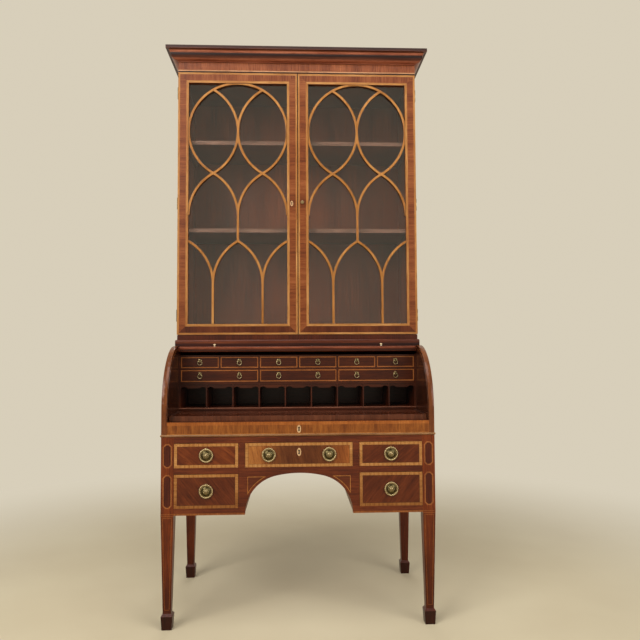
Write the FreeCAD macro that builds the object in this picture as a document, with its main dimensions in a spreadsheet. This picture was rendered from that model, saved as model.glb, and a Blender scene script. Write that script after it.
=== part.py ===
import FreeCAD, Part
import math
import os
from types import SimpleNamespace

import Sketcher

# A cylinder bureau with a glazed bookcase on top, in millimetres.
# +Z is up, the front faces -Y, and the origin is on the floor under the middle of the piece.
SIZES = [
    ("desk_width", 950, "desk, across the legs"),
    ("desk_depth", 540, "desk, front of the front legs to back of the back legs"),
    ("leg_height", 386, "floor to the underside of the case"),
    ("leg_size", 44, "square of a leg at the case"),
    ("leg_toe", 28, "square of a leg above its foot"),
    ("foot_height", 54, "spade foot with its shoulder"),
    ("foot_shoulder", 8, "sloping top of a spade foot"),
    ("foot_width", 40, "square of a spade foot at its widest"),
    ("foot_base", 34, "square of a spade foot on the floor"),
    ("bottom_rail", 23, "height of the bottom rails"),
    ("lower_opening", 116.5, "height of the lower drawer openings"),
    ("mid_rail", 21.5, "height of the middle rails"),
    ("upper_opening", 84, "height of the upper drawer openings"),
    ("top_rail", 22, "height of the top rail"),
    ("rail_thickness", 22, "front rails, front to back"),
    ("stile_width", 23, "stiles beside the middle drawer"),
    ("centre_opening", 373.6, "width of the middle drawer opening and of the kneehole"),
    ("arch_rise", 140, "kneehole arch, springing to crown"),
    ("arch_crown_radius", 371, "flat middle arc of the kneehole arch"),
    ("side_panel", 18, "thickness of the side panels"),
    ("panel_inset", 2, "side panels behind the faces of the legs"),
    ("partition", 20, "thickness of the partitions"),
    ("dust_board", 12, "thickness of the dust boards"),
    ("guide_height", 25, "height of the drawer guides"),
    ("back_board", 12, "thickness of the desk's back boards"),
    ("back_inset", 12, "lower back boards in front of the desk's back"),
    ("bead_height", 8, "thickness of the waist board"),
    ("bead_project", 3, "waist board beyond front and sides"),
    ("bead_round", 3.6, "rounding of the waist board's edge"),
    ("drawer_gap", 0.8, "gap round a drawer front"),
    ("seat_gap", 0.3, "drawer sides above their runners"),
    ("drawer_front", 20, "thickness of a drawer front"),
    ("drawer_side", 9, "thickness of drawer sides and back"),
    ("drawer_bottom", 6, "thickness of a drawer bottom"),
    ("drawer_lift", 4, "drawer bottom above the drawer sides' lower edge"),
    ("drawer_space", 70, "behind a drawer, to the desk's back"),
    ("drawer_headroom", 8, "drawer sides below the top of their opening"),
    ("side_thickness", 19, "thickness of the curved sides"),
    ("fall_rail_height", 42, "height of the fall rail"),
    ("cylinder_space", 88, "behind the cylinder, to the desk's back"),
    ("axis_rise", 40, "cylinder axis above the fall rail"),
    ("fall_gap", 1, "fall below the edge of the curved sides"),
    ("shell_thickness", 14, "thickness of the fall"),
    ("lip_thickness", 21, "thickness of the fall's lip"),
    ("lip_angle", 5.6, "angle that the lip takes up"),
    ("open_angle", 83.5, "lip's angle above the front when the fall is open"),
    ("closed_angle", -9.8, "lip's angle above the front when the fall is closed"),
    ("cover_angle", 93.5, "angle of the fall's back edge when the fall is closed"),
    ("tongue_thickness", 7, "tongue at the ends of the fall"),
    ("tongue_length", 6, "tongue beyond the faces of the curved sides"),
    ("groove_gap", 0.4, "running clearance round the tongue"),
    ("groove_angle", 1.6, "angle that the groove runs past the tongue"),
    ("end_gap", 0.6, "gap between the fall and the curved sides"),
    ("bed_thickness", 12, "thickness of the slide bed"),
    ("slide_thickness", 18, "thickness of the writing slide"),
    ("slide_setback", 32, "writing slide behind the front"),
    ("slide_space", 115, "behind the writing slide, to the desk's back"),
    ("slide_margin", 12, "width of the guides beside the writing slide"),
    ("slide_gap", 0.3, "running clearance of the writing slide"),
    ("guide_setback", 70, "slide guides behind the front"),
    ("top_board", 23, "thickness of the desk's top board"),
    ("top_board_inset", 6, "top board's ends inside the desk's sides"),
    ("top_board_gap", 0.7, "top board behind the fall's knobs"),
    ("top_board_round", 5, "rounded upper edge of the top board"),
    ("knob_spread", 637, "distance between the fall's knobs"),
    ("knob_radius", 4.5, "radius of the fall's knobs"),
    ("knob_height", 9, "height of the fall's knobs"),
    ("knob_angle", 1.6, "angle between the lip's end and its knobs"),
    ("nest_setback", 7, "front of the nest behind the cylinder's axis"),
    ("nest_clearance", 0.7, "nest above the writing slide"),
    ("nest_base", 10, "thickness of the nest's base"),
    ("nest_space", 36, "nest below the desk's top board"),
    ("nest_fall_gap", 8, "back corners of the nest inside the fall"),
    ("hole_share", 0.5, "share of the nest's clear height in the pigeonholes"),
    ("wide_share", 0.258, "share of the nest's clear height in the wide drawers"),
    ("nest_shelf", 10, "shelf over the pigeonholes"),
    ("nest_rail", 7, "shelf between the drawer rows"),
    ("nest_top", 6, "thickness of the nest's top"),
    ("nest_end", 6, "thickness of the nest's end panels"),
    ("hole_divider", 5, "thickness of the pigeonhole dividers"),
    ("nest_divider", 6, "thickness of the drawer dividers"),
    ("nest_back", 6, "thickness of the nest's backs"),
    ("valance_height", 15, "height of a valance in its middle"),
    ("valance_radius", 17, "radius of a valance's scallops"),
    ("scallop_share", 0.27, "share of a valance's width in each of its scallops"),
    ("valance_thickness", 4, "thickness of a valance"),
    ("valance_setback", 3, "valances behind the nest's front"),
    ("nest_gap", 0.6, "gap round a nest drawer front"),
    ("nest_front", 10, "thickness of a nest drawer front"),
    ("nest_side", 5, "thickness of nest drawer sides and back"),
    ("nest_bottom", 4, "thickness of a nest drawer bottom"),
    ("nest_lift", 2, "nest drawer bottom above its sides' lower edge"),
    ("nest_headroom", 5, "nest drawer sides below the top of their opening"),
    ("nest_play", 1, "nest drawers in front of the nest's backs"),
    ("plinth_height", 18, "height of the bookcase plinth"),
    ("plinth_inset", 2.75, "plinth inside the bookcase's sides"),
    ("plinth_nose", 4, "plinth's front before the cylinder's axis"),
    ("plinth_board", 18, "thickness of the plinth boards"),
    ("case_width", 931.5, "width of the bookcase"),
    ("case_height", 1032, "height of the bookcase between plinth and frieze"),
    ("case_board", 18, "thickness of the bookcase boards"),
    ("case_back", 8, "thickness of the bookcase back"),
    ("case_inset", 2, "bookcase in front of the desk's back"),
    ("door_setback", 2, "door fronts behind the cylinder's axis"),
    ("door_thickness", 22, "thickness of the doors"),
    ("door_seam", 2.4, "gap between doors and case"),
    ("door_gap", 2, "gap above and below the doors"),
    ("meeting_gap", 1, "gap between the doors"),
    ("door_frame", 41, "width of the door stiles and rails"),
    ("rebate_width", 8, "width of the glass rebate"),
    ("rebate_depth", 12, "depth of the glass rebate"),
    ("glass_thickness", 3, "thickness of the glass"),
    ("glass_gap", 0.5, "gap round the glass"),
    ("glazing_bead", 7, "thickness of the glazing beads"),
    ("bar_width", 10.5, "width of the tracery bars"),
    ("bar_setback", 1.5, "tracery behind the door's face"),
    ("mullion_share", 0.39, "share of the tracery's straight height above its lower arches"),
    ("shelf_thickness", 15, "thickness of the shelves"),
    ("shelf_gap", 0.5, "gap round the shelves"),
    ("shelf_setback", 12, "shelves behind the case's front"),
    ("lower_shelf", 405, "lower shelf above the case's foot"),
    ("upper_shelf", 755, "upper shelf above the case's foot"),
    ("bearer", 12, "square of the shelf bearers"),
    ("bearer_setback", 20, "bearers behind the shelves' front"),
    ("frieze_height", 38, "height of the frieze"),
    ("frieze_board", 22, "thickness of the frieze front"),
    ("cornice_bead", 4, "lowest member of the cornice"),
    ("cornice_step", 2, "small steps between the cornice's members"),
    ("cornice_cove", 20, "hollow of the cornice"),
    ("cornice_fillet", 6, "flat band over the hollow"),
    ("cornice_ovolo", 8, "round of the cornice"),
    ("cornice_lip", 6, "corona beyond the round"),
    ("cornice_corona", 12, "height of the corona"),
    ("dust_cover", 8, "board over the cornice's inside"),
    ("hinge_length", 46, "length of a hinge"),
    ("hinge_width", 16, "width of a hinge leaf"),
    ("hinge_leaf", 1.1, "thickness of a hinge leaf"),
    ("hinge_offset", 3.4, "hinge axis beyond the case's side"),
    ("hinge_margin", 75, "end hinges from the ends of the doors"),
    ("knuckle_radius", 3, "radius of the hinge knuckles"),
    ("knuckle_gap", 0.3, "gap between the hinge knuckles"),
    ("pin_radius", 1.6, "radius of the hinge pins"),
    ("pin_gap", 0.05, "running clearance of the hinge pins"),
    ("plate_radius", 24, "radius of a handle's back plate"),
    ("plate_thickness", 1.5, "thickness of a handle's back plate"),
    ("plate_dish", 0.4, "rise of a back plate towards its rosette"),
    ("boss_radius", 14, "radius of a handle's rosette"),
    ("boss_height", 7, "height of a handle's rosette"),
    ("ring_radius", 22.4, "radius of a handle ring, to the middle of its wire"),
    ("ring_wire", 3, "radius of a handle ring's wire"),
    ("ring_gap", 0.5, "handle ring in front of its plate"),
    ("eye_radius", 4.9, "radius of a handle's eye"),
    ("eye_length", 6, "length of a handle's eye"),
    ("eye_bore", 3.6, "bore of a handle's eye, to the corners of its outline"),
    ("handle_spread", 210, "distance between the middle drawer's handles"),
    ("drop_plate_radius", 5.5, "radius of a small handle's back plate"),
    ("drop_plate", 1, "thickness of a small handle's back plate"),
    ("drop_radius", 8.6, "radius of a small ring, to the middle of its wire"),
    ("drop_wire", 1.5, "radius of a small ring's wire"),
    ("drop_gap", 0.9, "small ring in front of its plate"),
    ("drop_eye_radius", 3.2, "radius of a small handle's eye"),
    ("drop_eye_length", 3, "length of a small handle's eye"),
    ("drop_eye_bore", 2.1, "bore of a small handle's eye, to the corners of its outline"),
    ("drop_rise", 6, "small handle's eye above the middle of its front"),
    ("lock_width", 46, "width of the lock cases"),
    ("lock_height", 24, "height of the lock cases"),
    ("lock_depth", 10, "thickness of the lock cases"),
    ("door_knob_radius", 7, "radius of the door knob"),
    ("door_knob_height", 16, "height of the door knob"),
    ("door_knob_inset", 17, "door knob from the door's edge"),
]

doc = FreeCAD.newDocument("BureauBookcase")
sheet = doc.addObject("Spreadsheet::Sheet", "dims")
for row, (alias, value, meaning) in enumerate(SIZES, start=1):
    sheet.set(f"A{row}", meaning)
    sheet.set(f"B{row}", str(value))
    sheet.setAlias(f"B{row}", alias)
doc.recompute()


class Size:
    """A length or angle: its value now, and the expression that ties it to the sheet."""

    def __init__(self, value, text):
        self.value = value
        self.text = text

    def joined(self, other, sign, value):
        return Size(value, f"({self.text} {sign} {other.text})")

    def __add__(self, other):
        other = size(other)
        return self.joined(other, "+", self.value + other.value)

    def __sub__(self, other):
        other = size(other)
        return self.joined(other, "-", self.value - other.value)

    def __mul__(self, other):
        other = size(other)
        return self.joined(other, "*", self.value * other.value)

    def __truediv__(self, other):
        other = size(other)
        return self.joined(other, "/", self.value / other.value)

    def __radd__(self, other):
        return size(other) + self

    def __rsub__(self, other):
        return size(other) - self

    def __rmul__(self, other):
        return size(other) * self

    def __neg__(self):
        return Size(-self.value, f"(0 - {self.text})")


def size(number):
    return number if isinstance(number, Size) else Size(float(number), repr(number))


def cosine(angle):
    return Size(math.cos(math.radians(angle.value)), f"cos({angle.text})")


def sine(angle):
    return Size(math.sin(math.radians(angle.value)), f"sin({angle.text})")


def root(area):
    return Size(math.sqrt(area.value), f"sqrt({area.text})")


d = SimpleNamespace(**{alias: Size(float(sheet.get(alias)), f"dims.{alias}") for alias, _, _ in SIZES})
NODES = {}
UP = FreeCAD.Vector(0, 0, 1)
SIDEWAYS = FreeCAD.Vector(1, 0, 0)
FORWARDS = FreeCAD.Rotation(SIDEWAYS, 90)


def bind(obj, **sizes):
    for name, amount in sizes.items():
        obj.setExpression(name, size(amount).text)


def place(obj, x=0, y=0, z=0):
    for axis, amount in zip("xyz", (x, y, z)):
        if isinstance(amount, Size):
            obj.setExpression(f".Placement.Base.{axis}", amount.text)
    return obj


def board(name, x, y, z):
    """A board between two planes each way."""
    box = doc.addObject("Part::Box", name)
    bind(box, Length=x[1] - x[0], Width=y[1] - y[0], Height=z[1] - z[0])
    return place(box, *(size(low) for low, _ in (x, y, z)))


def both(x):
    return (-x, x)


def pair(name, x, y, z):
    """A board on the right and its twin on the left."""
    return [board(name + "_right", x, y, z), board(name + "_left", (-x[1], -x[0]), y, z)]


def fuse(name, pieces):
    obj = doc.addObject("Part::MultiFuse", name)
    obj.Shapes = pieces
    obj.Refine = True
    return obj


def cut(name, base, tool):
    obj = doc.addObject("Part::Cut", name)
    obj.Base, obj.Tool = base, tool
    obj.Refine = True
    return obj


def group(name, pieces):
    obj = doc.addObject("Part::Compound", name)
    obj.Links = pieces
    return obj


def copy_of(name, master, x=0, y=0, z=0):
    """The same piece again, in another place."""
    return place(group(name, [master]), x, y, z)


def mirrored(name, source, normal, **base):
    obj = doc.addObject("Part::Mirroring", name)
    obj.Source = source
    obj.Normal = normal
    for axis, amount in base.items():
        obj.setExpression(f".Base.{axis}", amount.text)
    return obj


def node(name, pieces):
    obj = pieces[0] if len(pieces) == 1 else group(name + "_pieces", pieces)
    obj.Label = name
    NODES[name] = obj
    return obj


def new_body(name, x=0, y=0, z=0):
    return place(doc.addObject("PartDesign::Body", name), x, y, z)


def new_sketch(body, name, plane, offset=None):
    sketch = body.newObject("Sketcher::SketchObject", f"{body.Name}_{name}")
    support = [f for f in body.Origin.OriginFeatures if f.Role == plane + "_Plane"]
    sketch.AttachmentSupport = [(support[0], "")]
    sketch.MapMode = "FlatFace"
    if offset is not None:
        sketch.setExpression(".AttachmentOffset.Base.z", offset.text)
    return sketch


def hold(sketch, kind, first, second, amount):
    """Ties a distance or radius in a sketch to the sheet."""
    amount = size(amount)
    index = sketch.addConstraint(Sketcher.Constraint(kind, *first, *second, amount.value))
    if "dims" in amount.text:
        sketch.setExpression(f"Constraints[{index}]", amount.text)


def hold_point(sketch, edge, end, x, y):
    for kind, axis, amount in (("DistanceX", -2, x), ("DistanceY", -1, y)):
        if isinstance(amount, Size):
            hold(sketch, kind, (-1, 1), (edge, end), amount)
        else:
            sketch.addConstraint(Sketcher.Constraint("PointOnObject", edge, end, axis))


def arc_between(a, b, radius, turn):
    """The short arc from a to b, counter-clockwise if turn is 1 and clockwise if it is -1."""
    chord = b - a
    rise = math.sqrt(max(radius ** 2 - (chord.Length / 2) ** 2, 0.0))
    left = FreeCAD.Vector(-chord.y, chord.x, 0).normalize()
    centre = (a + b) * 0.5 + left * (rise * turn)
    start, end = (a, b) if turn > 0 else (b, a)
    first = math.atan2(start.y - centre.y, start.x - centre.x)
    last = math.atan2(end.y - centre.y, end.x - centre.x)
    if last <= first:
        last += 2 * math.pi
    circle = Part.Circle(centre, FreeCAD.Vector(0, 0, 1), radius)
    return Part.ArcOfCircle(circle, first, last)


def outline(body, name, plane, points, arcs=None, offset=None):
    """A closed outline through the points. arcs gives the radius and turn of the edge after a point."""
    arcs = arcs or {}
    sketch = new_sketch(body, name, plane, offset)
    corners = [FreeCAD.Vector(size(x).value, size(y).value, 0) for x, y in points]
    edges = []
    for index, (a, b) in enumerate(zip(corners, corners[1:] + corners[:1])):
        radius, turn = arcs.get(index, (None, 1))
        shape = Part.LineSegment(a, b) if radius is None else arc_between(a, b, radius.value, turn)
        edge = sketch.addGeometry(shape, False)
        edges.append((edge, 1, 2) if turn > 0 else (edge, 2, 1))
    for (edge, _, end), (following, start, _) in zip(edges, edges[1:] + edges[:1]):
        sketch.addConstraint(Sketcher.Constraint("Coincident", edge, end, following, start))
    for index, ((edge, start, _), (x, y)) in enumerate(zip(edges, points)):
        hold_point(sketch, edge, start, x, y)
        if index in arcs:
            hold(sketch, "Radius", (edge,), (), arcs[index][0])
    return sketch


def pad(body, sketch, length, reverse=False):
    feature = body.newObject("PartDesign::Pad", sketch.Name + "_pad")
    feature.Profile = sketch
    feature.Reversed = reverse
    bind(feature, Length=length)
    return feature


def pocket(body, sketch, length, reverse=False):
    feature = body.newObject("PartDesign::Pocket", sketch.Name + "_pocket")
    feature.Profile = sketch
    feature.Reversed = reverse
    bind(feature, Length=length)
    return feature


def polygon(name, sides, radius, turn, x=0, y=0, z=0):
    """A regular outline: one section of a loft."""
    section = doc.addObject("Part::RegularPolygon", name)
    section.Polygon = sides
    section.Placement.Rotation = turn
    bind(section, Circumradius=radius)
    return place(section, x, y, z)


def lofted(name, sections, closed=False):
    """A solid with flat faces between its sections."""
    loft = doc.addObject("Part::Loft", name)
    loft.Sections = sections
    loft.Solid = True
    loft.Ruled = True
    loft.Linearize = True
    loft.Closed = closed
    return loft


def turned(name, sides, levels):
    """A piece turned about the Y axis, from its back towards the front: radius and distance of each level."""
    return lofted(name, [
        polygon(f"{name}_{n}", sides, radius, FORWARDS, y=-out) for n, (radius, out) in enumerate(levels)
    ])


def rounded_slab(name, x, y, z, radius, both_faces):
    """A board whose front and side edges are rounded, above only or above and below."""
    body = new_body(name, x[0], y[0], z[0])
    wide, deep, tall = x[1] - x[0], y[1] - y[0], z[1] - z[0]
    plan = outline(body, "plan", "XY", [(0, 0), (wide, 0), (wide, deep), (0, deep)])
    slab = pad(body, plan, tall)
    doc.recompute()
    edges = []
    for index, edge in enumerate(slab.Shape.Edges, start=1):
        middle = edge.BoundBox.Center
        level = abs(edge.BoundBox.ZLength) < 0.01 and (both_faces or middle.z > tall.value / 2)
        if level and middle.y < deep.value - 0.01:
            edges.append(f"Edge{index}")
    rounding = body.newObject("PartDesign::Fillet", name + "_round")
    rounding.Base = (slab, edges)
    bind(rounding, Radius=radius)
    return body


def around(radius, angle):
    """A point of the cylinder, from its axis, at an angle above the front."""
    return (-(radius * cosine(angle)), radius * sine(angle))


# Planes of the desk, from front to back, from the middle outwards and from the floor upwards
ring_stand = d.plate_thickness + d.ring_gap + d.ring_wire
handle_reach = ring_stand + d.eye_radius
FRONT = (handle_reach - d.desk_depth) / 2
BACK = (handle_reach + d.desk_depth) / 2
HALF = d.desk_width / 2
y_rail = FRONT + d.rail_thickness
y_leg = (FRONT + d.leg_size, BACK - d.leg_size)
y_low_back = (BACK - d.back_inset - d.back_board, BACK - d.back_inset)
x_leg = HALF - d.leg_size
x_mid = d.centre_opening / 2
x_stile = x_mid + d.stile_width
x_part = (x_mid + (d.stile_width - d.partition) / 2, x_mid + (d.stile_width + d.partition) / 2)
x_panel = (HALF - d.panel_inset - d.side_panel, HALF - d.panel_inset)
x_inner = HALF - d.side_thickness
z_case = d.leg_height
z_low = z_case + d.bottom_rail
z_mid = z_low + d.lower_opening
z_up = z_mid + d.mid_rail
z_top_rail = z_up + d.upper_opening
z_waist = z_top_rail + d.top_rail
z_side = z_waist + d.bead_height
z_bed = z_side + d.fall_rail_height
z_axis = z_bed + d.axis_rise
side_radius = (d.desk_depth - d.cylinder_space) / 2
y_axis = FRONT + side_radius
z_top = z_axis + side_radius
z_plinth = z_top + d.top_board
z_book = z_plinth + d.plinth_height
z_frieze = z_book + d.case_height
z_cornice = z_frieze + d.frieze_height

# Legs: square, tapered, with a spade foot, and running up as the corner posts of the case
leg_levels = [
    (d.foot_base, size(0)),
    (d.foot_width, d.foot_height - d.foot_shoulder),
    (d.leg_toe, d.foot_height),
    (d.leg_size, d.leg_height),
    (d.leg_size, z_waist),
]
leg = lofted("leg", [
    polygon(f"leg_section_{n}", 4, square / math.sqrt(2), FreeCAD.Rotation(UP, 45), z=level)
    for n, (square, level) in enumerate(leg_levels)
])
x_post = HALF - d.leg_size / 2
y_posts = (FRONT + d.leg_size / 2, BACK - d.leg_size / 2)
legs = [
    copy_of(f"leg_{across}_{along}", leg, x_post * across, y, 0)
    for across in (1, -1)
    for along, y in enumerate(y_posts)
]
node("legs", legs)

# Side panels between the legs, the low backs on both sides of the kneehole and the cylinder's back
panels = pair("side_panel", x_panel, y_leg, (z_case, z_waist))
panels += pair("low_back", (x_part[0], x_leg), y_low_back, (z_case, z_waist))
panels.append(board("middle_back", both(x_part[0]), y_low_back, (z_up - d.dust_board, z_waist)))
panels.append(board("cylinder_back", both(x_inner), (BACK - d.back_board, BACK), (z_side, z_top)))
node("desk_panels", panels)

# Front rails and the short stiles beside the middle drawer
y_front = (FRONT, y_rail)
rails = [board("top_rail_board", both(x_leg), y_front, (z_top_rail, z_waist))]
rails += pair("stile", (x_mid, x_stile), y_front, (z_up, z_top_rail))
rails += pair("middle_rail", (x_stile, x_leg), y_front, (z_mid, z_up))
rails += pair("bottom_rail_board", (x_stile, x_leg), y_front, (z_case, z_low))
node("desk_front_rails", rails)

# Kneehole arch: one board with a three-centred arch between its two lower stiles
arch = new_body("arch", 0, FRONT, z_case)
crown = d.arch_crown_radius
haunch = (x_mid * x_mid + d.arch_rise * d.arch_rise - 2 * d.arch_rise * crown) / (2 * (x_mid - crown))
reach = crown * (x_mid - haunch) / (crown - haunch)
height = d.arch_rise - crown + crown * (crown - d.arch_rise) / (crown - haunch)
arch_points = [
    (-x_stile, 0), (-x_mid, 0), (-reach, height), (reach, height), (x_mid, 0), (x_stile, 0),
    (x_stile, z_up - z_case), (-x_stile, z_up - z_case),
]
arch_arcs = {1: (haunch, -1), 2: (crown, -1), 3: (haunch, -1)}
pad(arch, outline(arch, "front", "XZ", arch_points, arch_arcs), d.rail_thickness, reverse=True)
node("kneehole_arch", [arch])

# Inside the stand: partitions, dust boards that the drawers run on, and their guides
y_inside = (y_rail, y_low_back[0])
inside = pair("partition_board", x_part, y_inside, (z_case, z_waist))
inside.append(board("middle_dust_board", both(x_part[0]), y_inside, (z_up - d.dust_board, z_up)))
for name, level in (("upper", z_up), ("lower", z_low)):
    under = level - d.dust_board
    inside += pair(name + "_dust_board", (x_part[1], x_leg), y_inside, (under, level))
    inside += pair(name + "_guide", (x_leg, x_panel[0]), y_leg, (under, under + d.guide_height))

# Waist board with its rounded edge
x_bead = both(HALF + d.bead_project)
waist = rounded_slab("waist", x_bead, (FRONT - d.bead_project, BACK), (z_waist, z_side), d.bead_round, True)

# Curved sides: a quarter circle at the front edge, and an arc groove on the inner face for the fall
side = new_body("curved_side", x_inner, FRONT, z_side)
side_height = z_top - z_side
spring = side_height - side_radius
side_points = [
    (0, 0), (d.desk_depth, 0), (d.desk_depth, side_height), (side_radius, side_height), (0, spring),
]
side_sketch = outline(side, "face", "YZ", side_points, {3: (side_radius, 1)})
side_pad = pad(side, side_sketch, d.side_thickness)
doc.recompute()
plain_side = side_pad.Shape.Volume
fall_outer = side_radius - d.fall_gap
fall_inner = fall_outer - d.shell_thickness
fall_back = d.open_angle + d.cover_angle - d.closed_angle
groove_outer = fall_inner + d.tongue_thickness + d.groove_gap
groove_inner = fall_inner - d.groove_gap
groove_ends = (d.closed_angle - d.groove_angle, fall_back + d.groove_angle)
groove_turns = (groove_ends[0], size(90), groove_ends[1])
groove_points = [around(groove_outer, a) for a in groove_turns]
groove_points += [around(groove_inner, a) for a in reversed(groove_turns)]
groove_points = [(side_radius + y, spring + z) for y, z in groove_points]
groove_arcs = {0: (groove_outer, -1), 1: (groove_outer, -1), 3: (groove_inner, 1), 4: (groove_inner, 1)}
groove_sketch = outline(side, "groove", "YZ", groove_points, groove_arcs)
pocket(side, groove_sketch, d.tongue_length + d.groove_gap, reverse=True)
node("cylinder_sides", [side, mirrored("curved_side_left", side, SIDEWAYS)])

# Top board of the desk, whose moulded edge shows under the bookcase, just behind the fall's knobs
knob_turn = d.open_angle + d.knob_angle
knob_y, knob_z = around(fall_outer, knob_turn)
x_top = both(HALF - d.top_board_inset)
y_top = (y_axis + knob_y + d.knob_radius + d.top_board_gap, BACK)
top = rounded_slab("top", x_top, y_top, (z_top, z_plinth), d.top_board_round, False)
node("waist_and_top_boards", [waist, top])

# Fall rail, and the bed and guides that the writing slide runs on
node("fall_rail", [board("fall_rail_board", both(x_inner), y_front, (z_side, z_bed))])
slide_end = BACK - d.slide_space
slide_level = z_bed + d.slide_gap
bed = [board("bed", both(x_inner), (y_rail, BACK - d.back_board), (z_bed - d.bed_thickness, z_bed))]
bed += pair(
    "slide_guide",
    (x_inner - d.slide_margin + d.slide_gap, x_inner),
    (FRONT + d.guide_setback, slide_end),
    (z_bed, z_bed + d.slide_thickness),
)
node("dividers_runners_and_bed", inside + bed)
slide = board(
    "slide",
    both(x_inner - d.slide_margin),
    (FRONT + d.slide_setback, slide_end),
    (slide_level, slide_level + d.slide_thickness),
)
node("writing_slide", [slide])

# Cylinder fall: a curved shell with a thick lip, and tongues along its ends that run in the grooves
fall_half = x_inner - d.end_gap
fall = new_body("fall", -fall_half, y_axis, z_axis)
lip_inner = fall_outer - d.lip_thickness
lip_end = d.open_angle + d.lip_angle
fall_middle = (d.open_angle + fall_back) / 2
fall_points = [
    around(fall_outer, d.open_angle), around(fall_outer, fall_middle), around(fall_outer, fall_back),
    around(fall_inner, fall_back), around(fall_inner, fall_middle), around(fall_inner, lip_end),
    around(lip_inner, lip_end), around(lip_inner, d.open_angle),
]
fall_arcs = {
    0: (fall_outer, -1), 1: (fall_outer, -1), 3: (fall_inner, 1), 4: (fall_inner, 1), 6: (lip_inner, 1),
}
pad(fall, outline(fall, "section", "YZ", fall_points, fall_arcs), 2 * fall_half)
tongue_outer = fall_inner + d.tongue_thickness
tongue_points = [
    around(tongue_outer, d.open_angle), around(tongue_outer, fall_middle), around(tongue_outer, fall_back),
    around(fall_inner, fall_back), around(fall_inner, fall_middle), around(fall_inner, d.open_angle),
]
tongue_arcs = {0: (tongue_outer, -1), 1: (tongue_outer, -1), 3: (fall_inner, 1), 4: (fall_inner, 1)}
tongue_reach = d.tongue_length + d.end_gap
tongue = outline(fall, "tongue", "YZ", tongue_points, tongue_arcs, offset=-tongue_reach)
pad(fall, tongue, 2 * (fall_half + tongue_reach))
node("fall_shell", [fall])

# Knobs on the fall's lip: a waisted stem and a round head
fall_knob = turned("fall_knob", 8, [
    (d.knob_radius * 0.6, size(0)), (d.knob_radius * 0.45, d.knob_height * 0.35),
    (d.knob_radius, d.knob_height * 0.55), (d.knob_radius * 0.9, d.knob_height * 0.85),
    (d.knob_radius * 0.4, d.knob_height),
])
knobs = []
for name, across in (("right", 1), ("left", -1)):
    x = d.knob_spread / 2 * across
    knob = copy_of(f"fall_knob_{name}", fall_knob, x, y_axis + knob_y, z_axis + knob_z)
    knob.Placement.Rotation = FreeCAD.Rotation(-SIDEWAYS, knob_turn.value)
    knob.setExpression(".Placement.Rotation.Angle", knob_turn.text)
    knobs.append(knob)
node("fall_knobs", knobs)

# Nest: pigeonholes below, wide drawers above them and small drawers on top, each row shallower
y_nest = y_axis + d.nest_setback
z_base = slide_level + d.slide_thickness + d.nest_clearance
z_nest_top = z_top - d.nest_space - d.nest_top
clear_height = z_nest_top - z_base - d.nest_base - d.nest_shelf - d.nest_rail
hole_height = clear_height * d.hole_share
wide_height = clear_height * d.wide_share
small_height = clear_height - hole_height - wide_height
z_hole = z_base + d.nest_base
z_shelf = z_hole + hole_height
z_wide = z_shelf + d.nest_shelf
z_small = z_wide + wide_height + d.nest_rail
x_nest = x_inner - d.nest_end


def depth_below(level):
    """Depth of a nest row up to a level, where its back corner comes close to the fall."""
    rise = level - z_axis
    return root(fall_inner * fall_inner - rise * rise) - d.nest_setback - d.nest_fall_gap


wide_depth = depth_below(z_small)
small_depth = depth_below(z_nest_top + d.nest_top)
y_hole = (y_nest, y_nest + depth_below(z_wide))
y_wide = (y_nest, y_nest + wide_depth)
y_small = (y_nest, y_nest + small_depth)
shelf_board = board("nest_shelf_board", both(x_inner), y_hole, (z_shelf, z_wide))
nest = [
    board("nest_base_board", both(x_inner), y_hole, (z_base, z_hole)),
    board("nest_rail_board", both(x_inner), y_wide, (z_small - d.nest_rail, z_small)),
    board("nest_top_board", both(x_inner), y_small, (z_nest_top, z_nest_top + d.nest_top)),
]


def row_of(name, count, thickness, y, z):
    """End panels, dividers and back of one row. Returns them with the width of one space and its pitch."""
    width = (2 * x_nest - (count - 1) * thickness) / count
    back = (y[1] - d.nest_back, y[1])
    pieces = pair(name + "_end", (x_nest, x_inner), y, z)
    pieces.append(board(name + "_back", both(x_nest), back, z))
    for number in range(1, count):
        left = -x_nest + number * width + (number - 1) * thickness
        pieces.append(board(f"{name}_divider_{number}", (left, left + thickness), (y[0], back[0]), z))
    return pieces, width, width + thickness


hole_row, hole_width, hole_pitch = row_of("hole", 9, d.hole_divider, y_hole, (z_hole, z_shelf))
wide_row, wide_width, wide_pitch = row_of("wide", 3, d.nest_divider, y_wide, (z_wide, z_small - d.nest_rail))
small_row, small_width, small_pitch = row_of("small", 6, d.nest_divider, y_small, (z_small, z_nest_top))

# Valance over each pigeonhole: a straight middle between two scallops, all glued under the shelf
valance = new_body("valance")
drop = -d.valance_height
hole_half = hole_width / 2
scallop = hole_half - hole_width * d.scallop_share
valance_points = [
    (-hole_half, 0), (-hole_half, drop), (-scallop, drop), (scallop, drop), (hole_half, drop), (hole_half, 0),
]
valance_arcs = {1: (d.valance_radius, -1), 3: (d.valance_radius, -1)}
pad(valance, outline(valance, "face", "XZ", valance_points, valance_arcs), d.valance_thickness, reverse=True)
valances = [
    copy_of(f"valance_{number}", valance, (number - 4) * hole_pitch, y_nest + d.valance_setback, z_shelf)
    for number in range(9)
]
nest.append(fuse("shelf_with_valances", [shelf_board] + valances))
node("nest_case", nest + hole_row + wide_row + small_row)


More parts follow.
